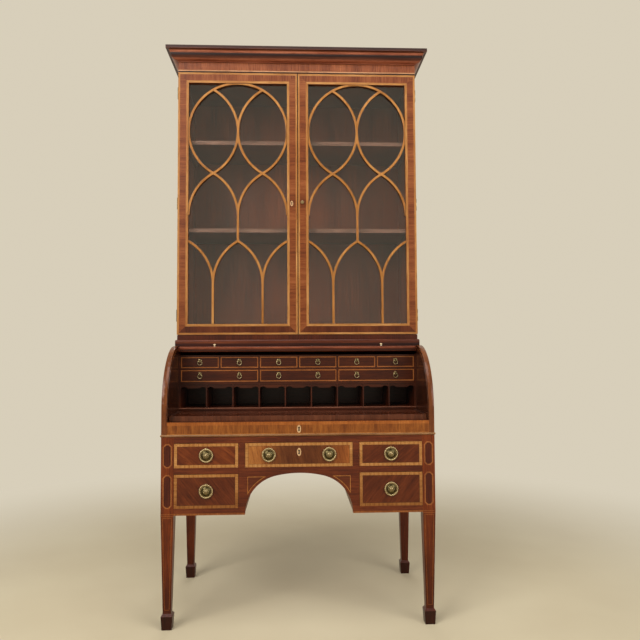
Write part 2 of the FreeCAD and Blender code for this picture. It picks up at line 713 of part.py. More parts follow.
def drawer(name, width, height, length, made):
    """A drawer: front, sides, back and bottom. Its origin is the lower front middle of its opening."""
    edge = width / 2 - made.gap
    inner = edge - made.side
    top = height - made.headroom
    floor = (d.seat_gap + made.lift, d.seat_gap + made.lift + made.bottom)
    pieces = [board(name + "_front", both(edge), (size(0), made.front), (made.gap, height - made.gap))]
    pieces += pair(name + "_side", (inner, edge), (made.front, length), (d.seat_gap, top))
    pieces.append(board(name + "_bottom", both(inner), (made.front, length), floor))
    pieces.append(board(name + "_back", both(inner), (length - made.side, length), (floor[1], top)))
    return group(name, pieces)


def eye(name, plate, ring_level, stand, bore, made):
    """A handle's back plate with the eye that the ring hangs in."""
    across = FreeCAD.Rotation(FreeCAD.Vector(0, 1, 0), 90)
    pieces = []
    for which, radius in (("barrel", made.radius), ("bore", bore)):
        prism = doc.addObject("Part::Prism", f"{name}_{which}")
        prism.Polygon = made.sides
        prism.Placement.Rotation = across
        bind(prism, Circumradius=radius, Height=made.length)
        pieces.append(place(prism, -made.length / 2, -stand, ring_level))
    return cut(name, fuse(name + "_blank", [plate, pieces[0]]), pieces[1])


def ring_on(name, radius, wire, sections, sides):
    """A ring that hangs below its own origin."""
    outlines = []
    hang = radius * math.cos(math.pi / sections)
    for n in range(sections):
        turn = FreeCAD.Rotation(FreeCAD.Vector(0, 1, 0), -360 * n / sections)
        way = turn.multVec(SIDEWAYS)
        outlines.append(polygon(f"{name}_{n}", sides, wire, turn, x=radius * way.x, z=radius * way.z - hang))
    return lofted(name, outlines, closed=True)


def ring_endings(handles):
    return ["_left_ring", "_right_ring"] if len(handles) > 1 else ["_ring"]


# Large handles: back plate with a stepped rosette, eye and ring
rosette = turned("rosette", 12, [
    (d.plate_radius, size(0)), (d.plate_radius, d.plate_thickness),
    (d.boss_radius, d.plate_thickness + d.plate_dish),
    (d.boss_radius * 0.88, d.boss_height * 0.55), (d.boss_radius * 0.55, d.boss_height * 0.62),
    (d.boss_radius * 0.45, d.boss_height * 0.9), (d.boss_radius * 0.2, d.boss_height),
])
large_eye = SimpleNamespace(radius=d.eye_radius, length=d.eye_length, sides=8)
plate = eye("handle_plate", rosette, d.ring_radius, ring_stand, d.eye_bore, large_eye)
ring = ring_on("handle_ring", d.ring_radius, d.ring_wire, 14, 6)

# Small handles: a small plate at the eye, and a ring
drop_stand = d.drop_plate + d.drop_gap + d.drop_wire
small_levels = [(d.drop_plate_radius, size(0)), (d.drop_plate_radius, d.drop_plate)]
small_plate = turned("drop_plate_disc", 8, small_levels)
small_eye = SimpleNamespace(radius=d.drop_eye_radius, length=d.drop_eye_length, sides=6)
drop_plate = eye("drop_plate_body", small_plate, size(0), drop_stand, d.drop_eye_bore, small_eye)
drop_ring = ring_on("drop_ring", d.drop_radius, d.drop_wire, 10, 5)

# Drawers of the stand, with their handles and the middle drawer's lock
large = SimpleNamespace(
    gap=d.drawer_gap, front=d.drawer_front, side=d.drawer_side, bottom=d.drawer_bottom,
    lift=d.drawer_lift, headroom=d.drawer_headroom,
)
side_opening = x_leg - x_stile
x_side_drawer = (x_leg + x_stile) / 2
drawer_length = d.desk_depth - d.drawer_space
upper = drawer("upper_drawer", side_opening, d.upper_opening, drawer_length, large)
lower = drawer("lower_drawer", side_opening, d.lower_opening, drawer_length, large)
middle = drawer("middle_drawer_box", d.centre_opening, d.upper_opening, drawer_length, large)
spread = d.handle_spread / 2
stand_drawers = [
    ("upper_left", upper, -x_side_drawer, z_up, d.upper_opening, [-x_side_drawer]),
    ("upper_right", upper, x_side_drawer, z_up, d.upper_opening, [x_side_drawer]),
    ("lower_left", lower, -x_side_drawer, z_low, d.lower_opening, [-x_side_drawer]),
    ("lower_right", lower, x_side_drawer, z_low, d.lower_opening, [x_side_drawer]),
    ("middle", middle, size(0), z_up, d.upper_opening, [-spread, spread]),
]
for name, master, x, z, opening, handles in stand_drawers:
    node(name + "_drawer", [copy_of(name + "_box", master, x, FRONT, z)])
    z_handle = z + opening / 2
    plates = [copy_of(f"{name}_plate_{n}", plate, at, FRONT, z_handle) for n, at in enumerate(handles)]
    for ending, at in zip(ring_endings(handles), handles):
        hung = copy_of(f"{name}_hung{ending}", ring, at, FRONT - ring_stand, z_handle + d.ring_radius)
        node(name + ending, [hung])
    if name == "middle":
        lock_top = z + opening - d.drawer_headroom
        y_lock = FRONT + d.drawer_front
        plates.append(board(
            "drawer_lock", both(d.lock_width / 2), (y_lock, y_lock + d.lock_depth),
            (lock_top - d.lock_height, lock_top),
        ))
    node(name + ("_handle_plates" if len(handles) > 1 else "_handle_plate"), plates)

# Drawers of the nest, with the eyes of their rings
fine = SimpleNamespace(
    gap=d.nest_gap, front=d.nest_front, side=d.nest_side, bottom=d.nest_bottom,
    lift=d.nest_lift, headroom=d.nest_headroom,
)
behind = d.nest_back + d.nest_play
small = drawer("small_box", small_width, small_height, small_depth - behind, fine)
wide = drawer("wide_box", wide_width, wide_height, wide_depth - behind, fine)
nest_drawers = [
    (f"small_drawer_{n + 1}", small, (n - 2.5) * small_pitch, z_small, small_height, [size(0)])
    for n in range(6)
]
nest_drawers += [
    (f"wide_drawer_{where}", wide, (n - 1) * wide_pitch, z_wide, wide_height,
     [-small_pitch / 2, small_pitch / 2])
    for n, where in enumerate(("left", "middle", "right"))
]
for name, master, x, z, opening, handles in nest_drawers:
    z_eye = z + opening / 2 + d.drop_rise
    pieces = [copy_of(name + "_box", master, x, y_nest, z)]
    pieces += [copy_of(f"{name}_eye_{n}", drop_plate, x + at, y_nest, z_eye) for n, at in enumerate(handles)]
    node(name, pieces)
    for ending, at in zip(ring_endings(handles), handles):
        node(name + ending, [copy_of(f"{name}_hung{ending}", drop_ring, x + at, y_nest - drop_stand, z_eye)])

# Bookcase: plinth, case with shelf bearers, and shelves
BOOK = d.case_width / 2
y_door = y_axis + d.door_setback
y_seam = y_door + d.door_thickness
y_book = (y_seam + d.door_seam, BACK - d.case_inset)
y_shelves = (y_book[0] + d.shelf_setback, y_book[1] - d.case_back - d.shelf_gap)
x_book = BOOK - d.case_board
x_plinth = BOOK - d.plinth_inset
y_plinth = (y_axis - d.plinth_nose, BACK - d.case_inset)
z_plinths = (z_plinth, z_book)
plinth = [
    board("plinth_front", both(x_plinth), (y_plinth[0], y_plinth[0] + d.plinth_board), z_plinths),
    board("plinth_back", both(x_plinth), (y_plinth[1] - d.plinth_board, y_plinth[1]), z_plinths),
]
plinth += pair(
    "plinth_side",
    (x_plinth - d.plinth_board, x_plinth),
    (y_plinth[0] + d.plinth_board, y_plinth[1] - d.plinth_board),
    z_plinths,
)
y_boards = (y_book[0], y_book[1] - d.case_back)
case = pair("case_side", (x_book, BOOK), y_book, (z_book, z_frieze))
case += [
    board("case_bottom", both(x_book), y_boards, (z_book, z_book + d.case_board)),
    board("case_top", both(x_book), y_boards, (z_frieze - d.case_board, z_frieze)),
    board("case_back_board", both(x_book), (y_boards[1], y_book[1]), (z_book, z_frieze)),
]
shelves = []
for name, level in (("lower", z_book + d.lower_shelf), ("upper", z_book + d.upper_shelf)):
    z_shelves = (level, level + d.shelf_thickness)
    shelves.append(board(name + "_shelf_board", both(x_book - d.shelf_gap), y_shelves, z_shelves))
    case += pair(
        name + "_bearer",
        (x_book - d.bearer, x_book),
        (y_shelves[0] + d.bearer_setback, y_boards[1]),
        (level - d.bearer, level),
    )
node("bookcase_carcase", plinth + case + shelves)

# Frieze and cornice: a moulding mitred round the front and sides, with a board over its inside
z_friezes = (z_frieze, z_cornice)
y_frieze = (y_door, y_door + d.frieze_board)
cornice = [board("frieze_front", both(BOOK), y_frieze, z_friezes)]
cornice += pair("frieze_return", (x_book, BOOK), (y_frieze[1], y_book[1]), z_friezes)
cornice.append(board("frieze_back", both(x_book), (y_book[1] - d.case_board, y_book[1]), z_friezes))
moulding = new_body("cornice_moulding", 0, y_door, z_cornice)
run = y_book[1] - y_door
path = new_sketch(moulding, "path", "XY")
stops = [(-BOOK, run), (-BOOK, 0), (BOOK, 0), (BOOK, run)]
for (x0, y0), (x1, y1) in zip(stops, stops[1:]):
    ends = [FreeCAD.Vector(size(x).value, size(y).value, 0) for x, y in ((x0, y0), (x1, y1))]
    edge = path.addGeometry(Part.LineSegment(*ends), False)
    hold_point(path, edge, 1, x0, y0)
    hold_point(path, edge, 2, x1, y1)
p_bead = BOOK + d.cornice_bead
p_cove = p_bead + d.cornice_step
p_fillet = p_cove + d.cornice_cove
p_round = p_fillet + d.cornice_step
p_corona = p_round + d.cornice_ovolo
p_lip = p_corona + d.cornice_lip
h_cove = d.cornice_bead
h_fillet = h_cove + d.cornice_cove
h_round = h_fillet + d.cornice_fillet
h_corona = h_round + d.cornice_ovolo
h_top = h_corona + d.cornice_corona
inner_edge = BOOK - d.frieze_board
cornice_points = [
    (-inner_edge, 0), (-inner_edge, h_top), (-p_lip, h_top), (-p_lip, h_corona), (-p_corona, h_corona),
    (-p_round, h_round), (-p_fillet, h_round), (-p_fillet, h_fillet), (-p_cove, h_cove),
    (-p_bead, h_cove), (-p_bead, 0),
]
cornice_arcs = {4: (d.cornice_ovolo, -1), 7: (d.cornice_cove, 1)}
profile = outline(moulding, "profile", "XZ", cornice_points, cornice_arcs, offset=-run)
sweep = moulding.newObject("PartDesign::AdditivePipe", "cornice_sweep")
sweep.Profile = profile
sweep.Spine = path
sweep.Transition = "Right corner"
cornice.append(moulding)
y_cover = (y_door + d.frieze_board, y_book[1])
z_cover = (z_cornice, z_cornice + d.dust_cover)
cornice.append(board("dust_cover_board", both(inner_edge), y_cover, z_cover))
node("cornice", cornice)

# Door, made once for both sides: stiles and rails rebated for the glass, glazing beads, glass and tracery
door_width = BOOK - d.meeting_gap / 2
door_height = d.case_height - 2 * d.door_gap
edge = door_width / 2
sight = edge - d.door_frame
sight_height = door_height - 2 * d.door_frame
step = d.door_frame - d.rebate_width
y_rebate = (d.door_thickness - d.rebate_depth, d.door_thickness)
z_rebate = (step, door_height - step)
y_thick = (size(0), d.door_thickness)
frame = []
for name, x in (("right", (sight, edge)), ("left", (-edge, -sight))):
    rebate_x = (sight, sight + d.rebate_width) if name == "right" else (-sight - d.rebate_width, -sight)
    frame.append(cut(
        f"door_stile_{name}",
        board(f"door_stile_{name}_blank", x, y_thick, (size(0), door_height)),
        board(f"door_stile_{name}_rebate", rebate_x, y_rebate, z_rebate),
    ))
z_rails = {
    "bottom": ((size(0), d.door_frame), (step, d.door_frame)),
    "top": ((door_height - d.door_frame, door_height), (door_height - d.door_frame, door_height - step)),
}
for name, (z_blank, z_cut) in z_rails.items():
    frame.append(cut(
        f"door_rail_{name}",
        board(f"door_rail_{name}_blank", both(sight), y_thick, z_blank),
        board(f"door_rail_{name}_rebate", both(sight), y_rebate, z_cut),
    ))
y_glass = (y_rebate[0], y_rebate[0] + d.glass_thickness)
y_bead = (y_glass[1], y_glass[1] + d.glazing_bead)
frame += pair("glazing_bead_side", (sight, sight + d.rebate_width), y_bead, z_rebate)
for name, (_, z_cut) in z_rails.items():
    frame.append(board(f"glazing_bead_{name}", both(sight), y_bead, z_cut))
door_frame = group("door_frame_pieces", frame)
x_glass = sight + d.rebate_width - d.glass_gap
door_glass = board(
    "door_glass", both(x_glass), y_glass, (z_rebate[0] + d.glass_gap, z_rebate[1] - d.glass_gap),
)

# Tracery: every arc has the radius of half the sight width, so circle and pointed arches flow together
RISE = math.sqrt(3) / 2
sight_top = door_height - d.door_frame
arch_rise = sight * RISE
z_circle = sight_top - sight
z_spring_2 = z_circle - 2 * arch_rise
straight_height = sight_height - sight - 3 * arch_rise
z_apex_3 = z_spring_2 - straight_height * d.mullion_share
z_spring_3 = z_apex_3 - arch_rise
bars = []


def arc_bar(x, z, start, sweep):
    """A curved bar about a centre, from an angle above the right and counter-clockwise."""
    shapes = []
    for which, radius in (("outer", sight + d.bar_width / 2), ("inner", sight - d.bar_width / 2)):
        disc = doc.addObject("Part::Cylinder", f"bar_{len(bars)}_{which}")
        disc.Angle = sweep
        bind(disc, Radius=radius, Height=y_rebate[0] - d.bar_setback)
        across = FreeCAD.Vector(math.cos(math.radians(start)), 0, math.sin(math.radians(start)))
        along = FreeCAD.Vector(0, -1, 0)
        disc.Placement.Rotation = FreeCAD.Rotation(across, along.cross(across), along)
        shapes.append(place(disc, x, y_rebate[0], z))
    bars.append(cut(f"bar_{len(bars)}", *shapes))


def straight_bar(x, z):
    y_bar = (d.bar_setback, y_rebate[0])
    bars.append(board(f"bar_{len(bars)}", (x - d.bar_width / 2, x + d.bar_width / 2), y_bar, z))


arc_bar(size(0), z_circle, -60, 300)
arc_bar(sight, z_circle, 120, 120)
arc_bar(-sight, z_circle, -60, 120)
for centre in (-sight, size(0)):
    arc_bar(centre, z_spring_2, 0, 60)
for centre in (size(0), sight):
    arc_bar(centre, z_spring_2, 120, 60)
straight_bar(size(0), (z_apex_3, z_spring_2))
for centre in (sight * -1.5, sight * -0.5):
    arc_bar(centre, z_spring_3, 0, 60)
for centre in (sight * 0.5, sight * 1.5):
    arc_bar(centre, z_spring_3, 120, 60)
for centre in (sight * -0.5, sight * 0.5):
    straight_bar(centre, (d.door_frame, z_spring_3))
tracery = doc.addObject("Part::Common", "tracery")
tracery.Base = fuse("tracery_bars", bars)
tracery.Tool = board("sight_space", both(sight), (size(0), y_rebate[0]), (d.door_frame, sight_top))
tracery.Refine = True

# Hinges on the right side: door leaf with the middle knuckle, case leaf with the other two and the pin
third = d.hinge_length / 6
half_seam = d.door_seam / 2
leaf_x = (-d.hinge_offset - d.hinge_width, -d.hinge_offset)
door_leaf_y = (-half_seam, -half_seam + d.hinge_leaf)
case_leaf_y = (half_seam - d.hinge_leaf, half_seam)
half_hinge = d.hinge_length / 2
inner_knuckle = (-third + d.knuckle_gap / 2, third - d.knuckle_gap / 2)
outer_knuckles = [(third + d.knuckle_gap / 2, half_hinge), (-half_hinge, -third - d.knuckle_gap / 2)]


def barrel(name, radius, z):
    bar = doc.addObject("Part::Prism", name)
    bar.Polygon = 8
    bind(bar, Circumradius=radius, Height=z[1] - z[0])
    return place(bar, 0, 0, z[0])


door_leaf = cut(
    "door_leaf",
    fuse("door_leaf_blank", [
        board("door_leaf_plate", leaf_x, door_leaf_y, both(half_hinge)),
        board("door_leaf_tab", (leaf_x[1], size(0)), door_leaf_y, inner_knuckle),
        barrel("door_knuckle", d.knuckle_radius, inner_knuckle),
    ]),
    barrel("door_leaf_bore", (d.pin_radius + d.pin_gap) / math.cos(math.pi / 8), inner_knuckle),
)
case_pieces = [
    board("case_leaf_plate", leaf_x, case_leaf_y, both(half_hinge)),
    barrel("hinge_pin", d.pin_radius, both(half_hinge)),
]
for number, z in enumerate(outer_knuckles):
    case_pieces.append(board(f"case_leaf_tab_{number}", (leaf_x[1], size(0)), case_leaf_y, z))
    case_pieces.append(barrel(f"case_knuckle_{number}", d.knuckle_radius, z))
case_leaf = fuse("case_leaf", case_pieces)
z_door = z_book + d.door_gap
hinge_levels = [z_door + d.hinge_margin, z_door + door_height / 2, z_door + door_height - d.hinge_margin]
x_hinge = BOOK + d.hinge_offset
y_hinge = y_seam + half_seam
right_leaves = group("right_door_leaves", [
    copy_of(f"right_door_leaf_{n}", door_leaf, x_hinge, y_hinge, z) for n, z in enumerate(hinge_levels)
])
right_case_leaves = group("right_case_leaves", [
    copy_of(f"right_case_leaf_{n}", case_leaf, x_hinge, y_hinge, z) for n, z in enumerate(hinge_levels)
])
left_leaves = mirrored("left_door_leaves", right_leaves, SIDEWAYS)
left_case_leaves = mirrored("left_case_leaves", right_case_leaves, SIDEWAYS)
y_fall_lock = (y_rail, y_rail + d.lock_depth)
z_fall_lock = z_bed - d.bed_thickness
z_fall_locks = (z_fall_lock - d.lock_height, z_fall_lock)
fall_lock = board("fall_lock", both(d.lock_width / 2), y_fall_lock, z_fall_locks)
node("case_brasswork", [right_case_leaves, left_case_leaves, fall_lock])

# Both doors with their brasswork: the knob is on the right door, the lock behind the left one
door_knob = turned("door_knob", 12, [
    (d.door_knob_radius * 0.6, size(0)), (d.door_knob_radius * 0.4, d.door_knob_height * 0.4),
    (d.door_knob_radius, d.door_knob_height * 0.6), (d.door_knob_radius, d.door_knob_height * 0.8),
    (d.door_knob_radius * 0.5, d.door_knob_height),
])
z_knob = z_door + door_height / 2
right_knob = copy_of("right_door_knob", door_knob, d.meeting_gap / 2 + d.door_knob_inset, y_door, z_knob)
x_lock = -d.meeting_gap / 2 - d.rebate_width
left_lock = board(
    "left_door_lock", (x_lock - d.lock_height, x_lock), (y_seam, y_seam + d.lock_depth),
    (z_knob - d.lock_width / 2, z_knob + d.lock_width / 2),
)
x_door = d.meeting_gap / 2 + door_width / 2
doors = (("left", -x_door, [left_leaves, left_lock]), ("right", x_door, [right_leaves, right_knob]))
for name, x, brasswork in doors:
    node(f"{name}_door_frame", [copy_of(f"{name}_frame_copy", door_frame, x, y_door, z_door)])
    node(f"{name}_door_tracery", [copy_of(f"{name}_tracery_copy", tracery, x, y_door, z_door)])
    node(f"{name}_door_glass", [copy_of(f"{name}_glass_copy", door_glass, x, y_door, z_door)])
    node(f"{name}_door_brasswork", brasswork)

doc.recompute()
for obj in doc.Objects:
    if "Invalid" in obj.State or "Error" in obj.State:
        raise RuntimeError(f"{obj.Label} failed: {obj.State}")
if side.Shape.Volume >= plain_side:
    raise RuntimeError("the grooves in the curved sides are missing")
os.makedirs("parts", exist_ok=True)
for name, obj in NODES.items():
    if obj.Shape.isNull() or not obj.Shape.isValid():
        raise RuntimeError(f"{name} has no valid shape")
    obj.Shape.exportStep(os.path.join("parts", name + ".step"))
    print(name, len(obj.Shape.Solids), round(obj.Shape.Volume))
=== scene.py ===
import math

import bmesh
import bpy
from mathutils import Matrix, Vector


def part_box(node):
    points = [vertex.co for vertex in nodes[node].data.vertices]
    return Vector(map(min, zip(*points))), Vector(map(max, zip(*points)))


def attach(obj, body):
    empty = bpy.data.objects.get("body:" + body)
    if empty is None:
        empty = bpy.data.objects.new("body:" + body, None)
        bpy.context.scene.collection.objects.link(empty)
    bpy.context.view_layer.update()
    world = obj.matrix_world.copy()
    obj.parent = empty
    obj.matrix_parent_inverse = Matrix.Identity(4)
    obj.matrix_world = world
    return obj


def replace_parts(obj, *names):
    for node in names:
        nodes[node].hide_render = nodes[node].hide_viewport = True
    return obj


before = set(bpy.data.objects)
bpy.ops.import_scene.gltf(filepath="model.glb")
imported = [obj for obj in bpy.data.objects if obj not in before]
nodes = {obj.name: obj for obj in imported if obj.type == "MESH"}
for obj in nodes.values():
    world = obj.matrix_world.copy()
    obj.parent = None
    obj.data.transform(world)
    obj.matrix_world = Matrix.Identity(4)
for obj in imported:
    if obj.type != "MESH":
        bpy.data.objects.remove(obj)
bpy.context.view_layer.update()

# Camera: a short lens a little over two metres in front of the piece, just under the height of its top
# board and turned slightly up, as the photograph was taken.
eye_point = Vector((-0.0181, -2.4623, 0.9503))
yaw, pitch, roll = -0.0423, 0.0482, -0.0048
focal_pixels, picture_pixels, sensor = 627.0, 640.0, 36
right = Vector((math.cos(yaw), math.sin(yaw), 0))
ahead = Vector((-math.sin(yaw) * math.cos(pitch), math.cos(yaw) * math.cos(pitch), math.sin(pitch)))
above = right.cross(ahead)
camera_right = right * math.cos(roll) + above * math.sin(roll)
camera_up = above * math.cos(roll) - right * math.sin(roll)
lens = bpy.data.cameras.new("camera")
lens.sensor_width = sensor
lens.sensor_height = sensor
lens.lens = sensor * focal_pixels / picture_pixels
camera = bpy.data.objects.new("camera", lens)
facing = Matrix((camera_right, camera_up, -ahead)).transposed().to_4x4()
camera.matrix_world = Matrix.Translation(eye_point) @ facing
bpy.context.scene.collection.objects.link(camera)
bpy.context.scene.camera = camera
bpy.context.scene.view_settings.view_transform = "Standard"


# Floor and light: a plain pale floor of matt paint that runs out into a pale backdrop, lit by large soft
# lamps from the front and above and a weaker one behind. Metal and glass mirror the same backdrop.
def linear(code):
    """An sRGB hex colour as linear red, green, blue and alpha."""
    parts = [int(code[i:i + 2], 16) / 255 for i in (1, 3, 5)]
    return [p / 12.92 if p <= 0.04045 else ((p + 0.055) / 1.055) ** 2.4 for p in parts] + [1.0]


def add(tree, kind, inputs=None, stops=None, **settings):
    """A node with its settings, and its sockets set or linked. stops are the colours of a ramp."""
    node = tree.nodes.new(kind)
    for name, value in settings.items():
        setattr(node, name, value)
    for name, value in (inputs or {}).items():
        if isinstance(value, bpy.types.NodeSocket):
            tree.links.new(value, node.inputs[name])
        else:
            node.inputs[name].default_value = value
    if stops:
        ramp = node.color_ramp
        while len(ramp.elements) < len(stops):
            ramp.elements.new(0.5)
        for element, (place, colour) in zip(ramp.elements, stops):
            element.position = place
            element.color = linear(colour)
    return node


def new_material(name):
    material = bpy.data.materials.new(name)
    material.use_nodes = True
    material.node_tree.nodes.clear()
    return material, material.node_tree


def seen_directly(tree):
    """1 where the eye looks, straight or by way of metal and glass, and 0 where the surface is only lit."""
    path = add(tree, "ShaderNodeLightPath")
    either = add(tree, "ShaderNodeMath", {0: path.outputs["Is Camera Ray"], 1: path.outputs["Is Glossy Ray"]},
                 operation="MAXIMUM")
    any_of = add(tree, "ShaderNodeMath", {0: either.outputs[0], 1: path.outputs["Is Transmission Ray"]},
                 operation="MAXIMUM")
    return any_of.outputs[0]


backdrop_colour, backdrop_strength = linear("#e8dec8"), 0.85
floor_half, near_edge, far_edge = 6.0, 0.9, 2.8
corners = [(x * floor_half, y * floor_half, 0) for x, y in ((-1, -1), (1, -1), (1, 1), (-1, 1))]
floor_mesh = bpy.data.meshes.new("floor")
floor_mesh.from_pydata(corners, [], [(0, 1, 2, 3)])
floor = bpy.data.objects.new("floor", floor_mesh)
bpy.context.scene.collection.objects.link(floor)

# Matt cream paint has no shine and hardly any pattern, only the wide soft clouds that a brush leaves.
floor_paint, tree = new_material("matt_cream_paint")
brush_cloud = 0.5
place = add(tree, "ShaderNodeTexCoord").outputs["Object"]
brushed = add(tree, "ShaderNodeTexNoise", {"Vector": place, "Scale": 1 / brush_cloud, "Detail": 3.0})
cream = add(tree, "ShaderNodeValToRGB", {0: brushed.outputs[0]}, [(0.3, "#c6b797"), (0.7, "#cdbf9f")])
paint = add(tree, "ShaderNodeBsdfPrincipled", {"Base Color": cream.outputs[0], "Roughness": 0.9})
away = add(tree, "ShaderNodeVectorMath", {0: place}, operation="LENGTH")
far = add(tree, "ShaderNodeMapRange", {0: away.outputs["Value"], 1: near_edge, 2: far_edge},
          interpolation_type="SMOOTHSTEP")
share = add(tree, "ShaderNodeMath", {0: far.outputs[0], 1: seen_directly(tree)}, operation="MULTIPLY")
glow = add(tree, "ShaderNodeEmission", {"Color": backdrop_colour, "Strength": backdrop_strength})
surface = add(tree, "ShaderNodeMixShader", {0: share.outputs[0], 1: paint.outputs[0], 2: glow.outputs[0]})
add(tree, "ShaderNodeOutputMaterial", {"Surface": surface.outputs[0]})
floor_mesh.materials.append(floor_paint)

world = bpy.data.worlds.new("pale_surround")
bpy.context.scene.world = world
world.use_nodes = True
sky = world.node_tree
sky.nodes.clear()
surround = add(sky, "ShaderNodeBackground", {"Color": linear("#f2efe8"), "Strength": 0.3})
backdrop = add(sky, "ShaderNodeBackground", {"Color": backdrop_colour, "Strength": backdrop_strength})
shown = seen_directly(sky)
either = add(sky, "ShaderNodeMixShader", {0: shown, 1: surround.outputs[0], 2: backdrop.outputs[0]})
add(sky, "ShaderNodeOutputWorld", {"Surface": either.outputs[0]})

# Each lamp has its place, the point it is turned to, the length of its sides and its power.
lamps = [
    ("window_lamp", (-2.6, -3.2, 2.9), (0.0, 0.0, 1.1), 2.4, 128.0),
    ("fill_lamp", (2.8, -3.0, 2.2), (0.0, 0.0, 1.0), 2.2, 66.0),
    ("top_lamp", (0.0, -1.2, 3.6), (0.0, 0.0, 1.0), 2.0, 48.0),
    ("rear_lamp", (0.0, 3.8, 2.6), (0.0, 0.0, 1.0), 2.0, 45.0),
]
for name, place, target, size, power in lamps:
    lamp_data = bpy.data.lights.new(name, "AREA")
    lamp_data.size = size
    lamp_data.energy = power
    lamp = bpy.data.objects.new(name, lamp_data)
    aim = (Vector(target) - Vector(place)).to_track_quat("-Z", "Y")
    lamp.matrix_world = Matrix.Translation(place) @ aim.to_matrix().to_4x4()
    bpy.context.scene.collection.objects.link(lamp)


# Legs: four square posts of solid mahogany, tapered below the case and left as its corner posts above, each
# with a spade foot cut in one with it. The front pair has light lines let into it, and dark panels with
# canted corners on the posts.
def polished_wood(name, tones, along, streak=0.004, figure=0.05, gloss=0.3, slant=0.0, blocks=None,
                  beyond=None, shade=None, sideways_shade=None):
    """Wood under a thin clear polish: three tones from dark to light, and the axis that its grain follows.
    streak and figure are the widths of fine and broad grain in metres, and slant turns the grain in the
    front's plane by degrees.
    blocks is the length of the pieces in a cross-cut band and the axis they follow each other on.
    beyond gives other tones past a place on an axis, counted both ways from the middle on X. shade tints the
    wood between places on an axis: most calls paint light and shade with it, and one gives a field's figure.
    The last argument darkens the faces that do not look forwards, a painted shade."""
    material, tree = new_material(name)
    coordinates = add(tree, "ShaderNodeTexCoord")
    place = coordinates.outputs["Object"]
    turned = add(tree, "ShaderNodeMapping", {"Vector": place, "Rotation": (0, math.radians(slant), 0)})
    apart = add(tree, "ShaderNodeSeparateXYZ", {0: place})

    # Real pores are about a quarter of a millimetre wide. They are drawn coarser, so that they show.
    pore_width = 0.0012
    layers = {"streaks": (streak, 30, 4.0), "figure": (figure, 4, 2.0), "pores": (pore_width, 20, 1.0)}
    grain = {}
    for layer, (width, stretch, detail) in layers.items():
        scale = [1 / width] * 3
        scale["XYZ".index(along)] /= stretch
        at = add(tree, "ShaderNodeVectorMath", {0: turned.outputs[0], 1: scale}, operation="MULTIPLY")
        noise = add(tree, "ShaderNodeTexNoise", {"Vector": at.outputs[0], "Scale": 1.0, "Detail": detail})
        grain[layer] = noise.outputs[0]
    depth = add(tree, "ShaderNodeMix", {0: 0.5, 2: grain["streaks"], 3: grain["figure"]}).outputs[0]
    if blocks:
        length, run = blocks
        turn_on = add(tree, "ShaderNodeMath", {0: apart.outputs["XYZ".index(run)], 1: math.pi / length},
                      operation="MULTIPLY")
        wave = add(tree, "ShaderNodeMath", {0: turn_on.outputs[0]}, operation="SINE")
        light = add(tree, "ShaderNodeMapRange", {0: wave.outputs[0], 1: -0.9, 2: -0.2, 3: 0.36, 4: 0.58})
        depth = add(tree, "ShaderNodeMix", {0: 0.45, 2: depth, 3: light.outputs[0]}).outputs[0]

    tone_places = (0.34, 0.5, 0.66)
    colour = add(tree, "ShaderNodeValToRGB", {0: depth}, list(zip(tone_places, tones))).outputs[0]
    if beyond:
        axis, start, far_tones = beyond
        reach = apart.outputs[axis]
        if axis == 0:
            reach = add(tree, "ShaderNodeMath", {0: reach}, operation="ABSOLUTE").outputs[0]
        past = add(tree, "ShaderNodeMath", {0: reach, 1: start}, operation="GREATER_THAN")
        far = add(tree, "ShaderNodeValToRGB", {0: depth}, list(zip(tone_places, far_tones)))
        mixed = add(tree, "ShaderNodeMix", {0: past.outputs[0], 6: colour, 7: far.outputs[0]},
                    data_type="RGBA")
        colour = mixed.outputs[2]
    tints = []
    if shade:
        axis, places = shade
        first, last = places[0][0], places[-1][0]
        along_it = add(tree, "ShaderNodeMapRange", {0: apart.outputs[axis], 1: first, 2: last})
        stops = [((at - first) / (last - first), tint) for at, tint in places]
        tints.append(add(tree, "ShaderNodeValToRGB", {0: along_it.outputs[0]}, stops))
    # Painted shade: faces that turn away from the front are darkened.
    if sideways_shade:
        faces = add(tree, "ShaderNodeSeparateXYZ", {0: coordinates.outputs["Normal"]})
        aside = add(tree, "ShaderNodeMapRange", {0: faces.outputs[1], 1: -1.0, 2: -0.5})
        stops = [(0.1, "#ffffff"), (1.0, sideways_shade)]
        tints.append(add(tree, "ShaderNodeValToRGB", {0: aside.outputs[0]}, stops))
    for tint in tints:
        mixed = add(tree, "ShaderNodeMix", {0: 1.0, 6: colour, 7: tint.outputs[0]},
                    data_type="RGBA", blend_type="MULTIPLY")
        colour = mixed.outputs[2]

    dark = add(tree, "ShaderNodeValToRGB", {0: grain["pores"]}, [(0.36, "#b0a49c"), (0.46, "#ffffff")])
    pored = add(tree, "ShaderNodeMix", {0: 0.6, 6: colour, 7: dark.outputs[0]},
                data_type="RGBA", blend_type="MULTIPLY")
    rough = add(tree, "ShaderNodeMapRange", {0: grain["streaks"], 3: gloss - 0.06, 4: gloss + 0.08})
    bump = add(tree, "ShaderNodeBump", {"Height": grain["pores"], "Strength": 0.12, "Distance": 0.0004})
    shader = add(tree, "ShaderNodeBsdfPrincipled", {
        "Base Color": pored.outputs[2], "Roughness": rough.outputs[0], "IOR": 1.5, "Specular IOR Level": 0.22,
        "Coat Weight": 0.06, "Coat Roughness": 0.18, "Normal": bump.outputs[0],
    })
    add(tree, "ShaderNodeOutputMaterial", {"Surface": shader.outputs[0]})
    return material


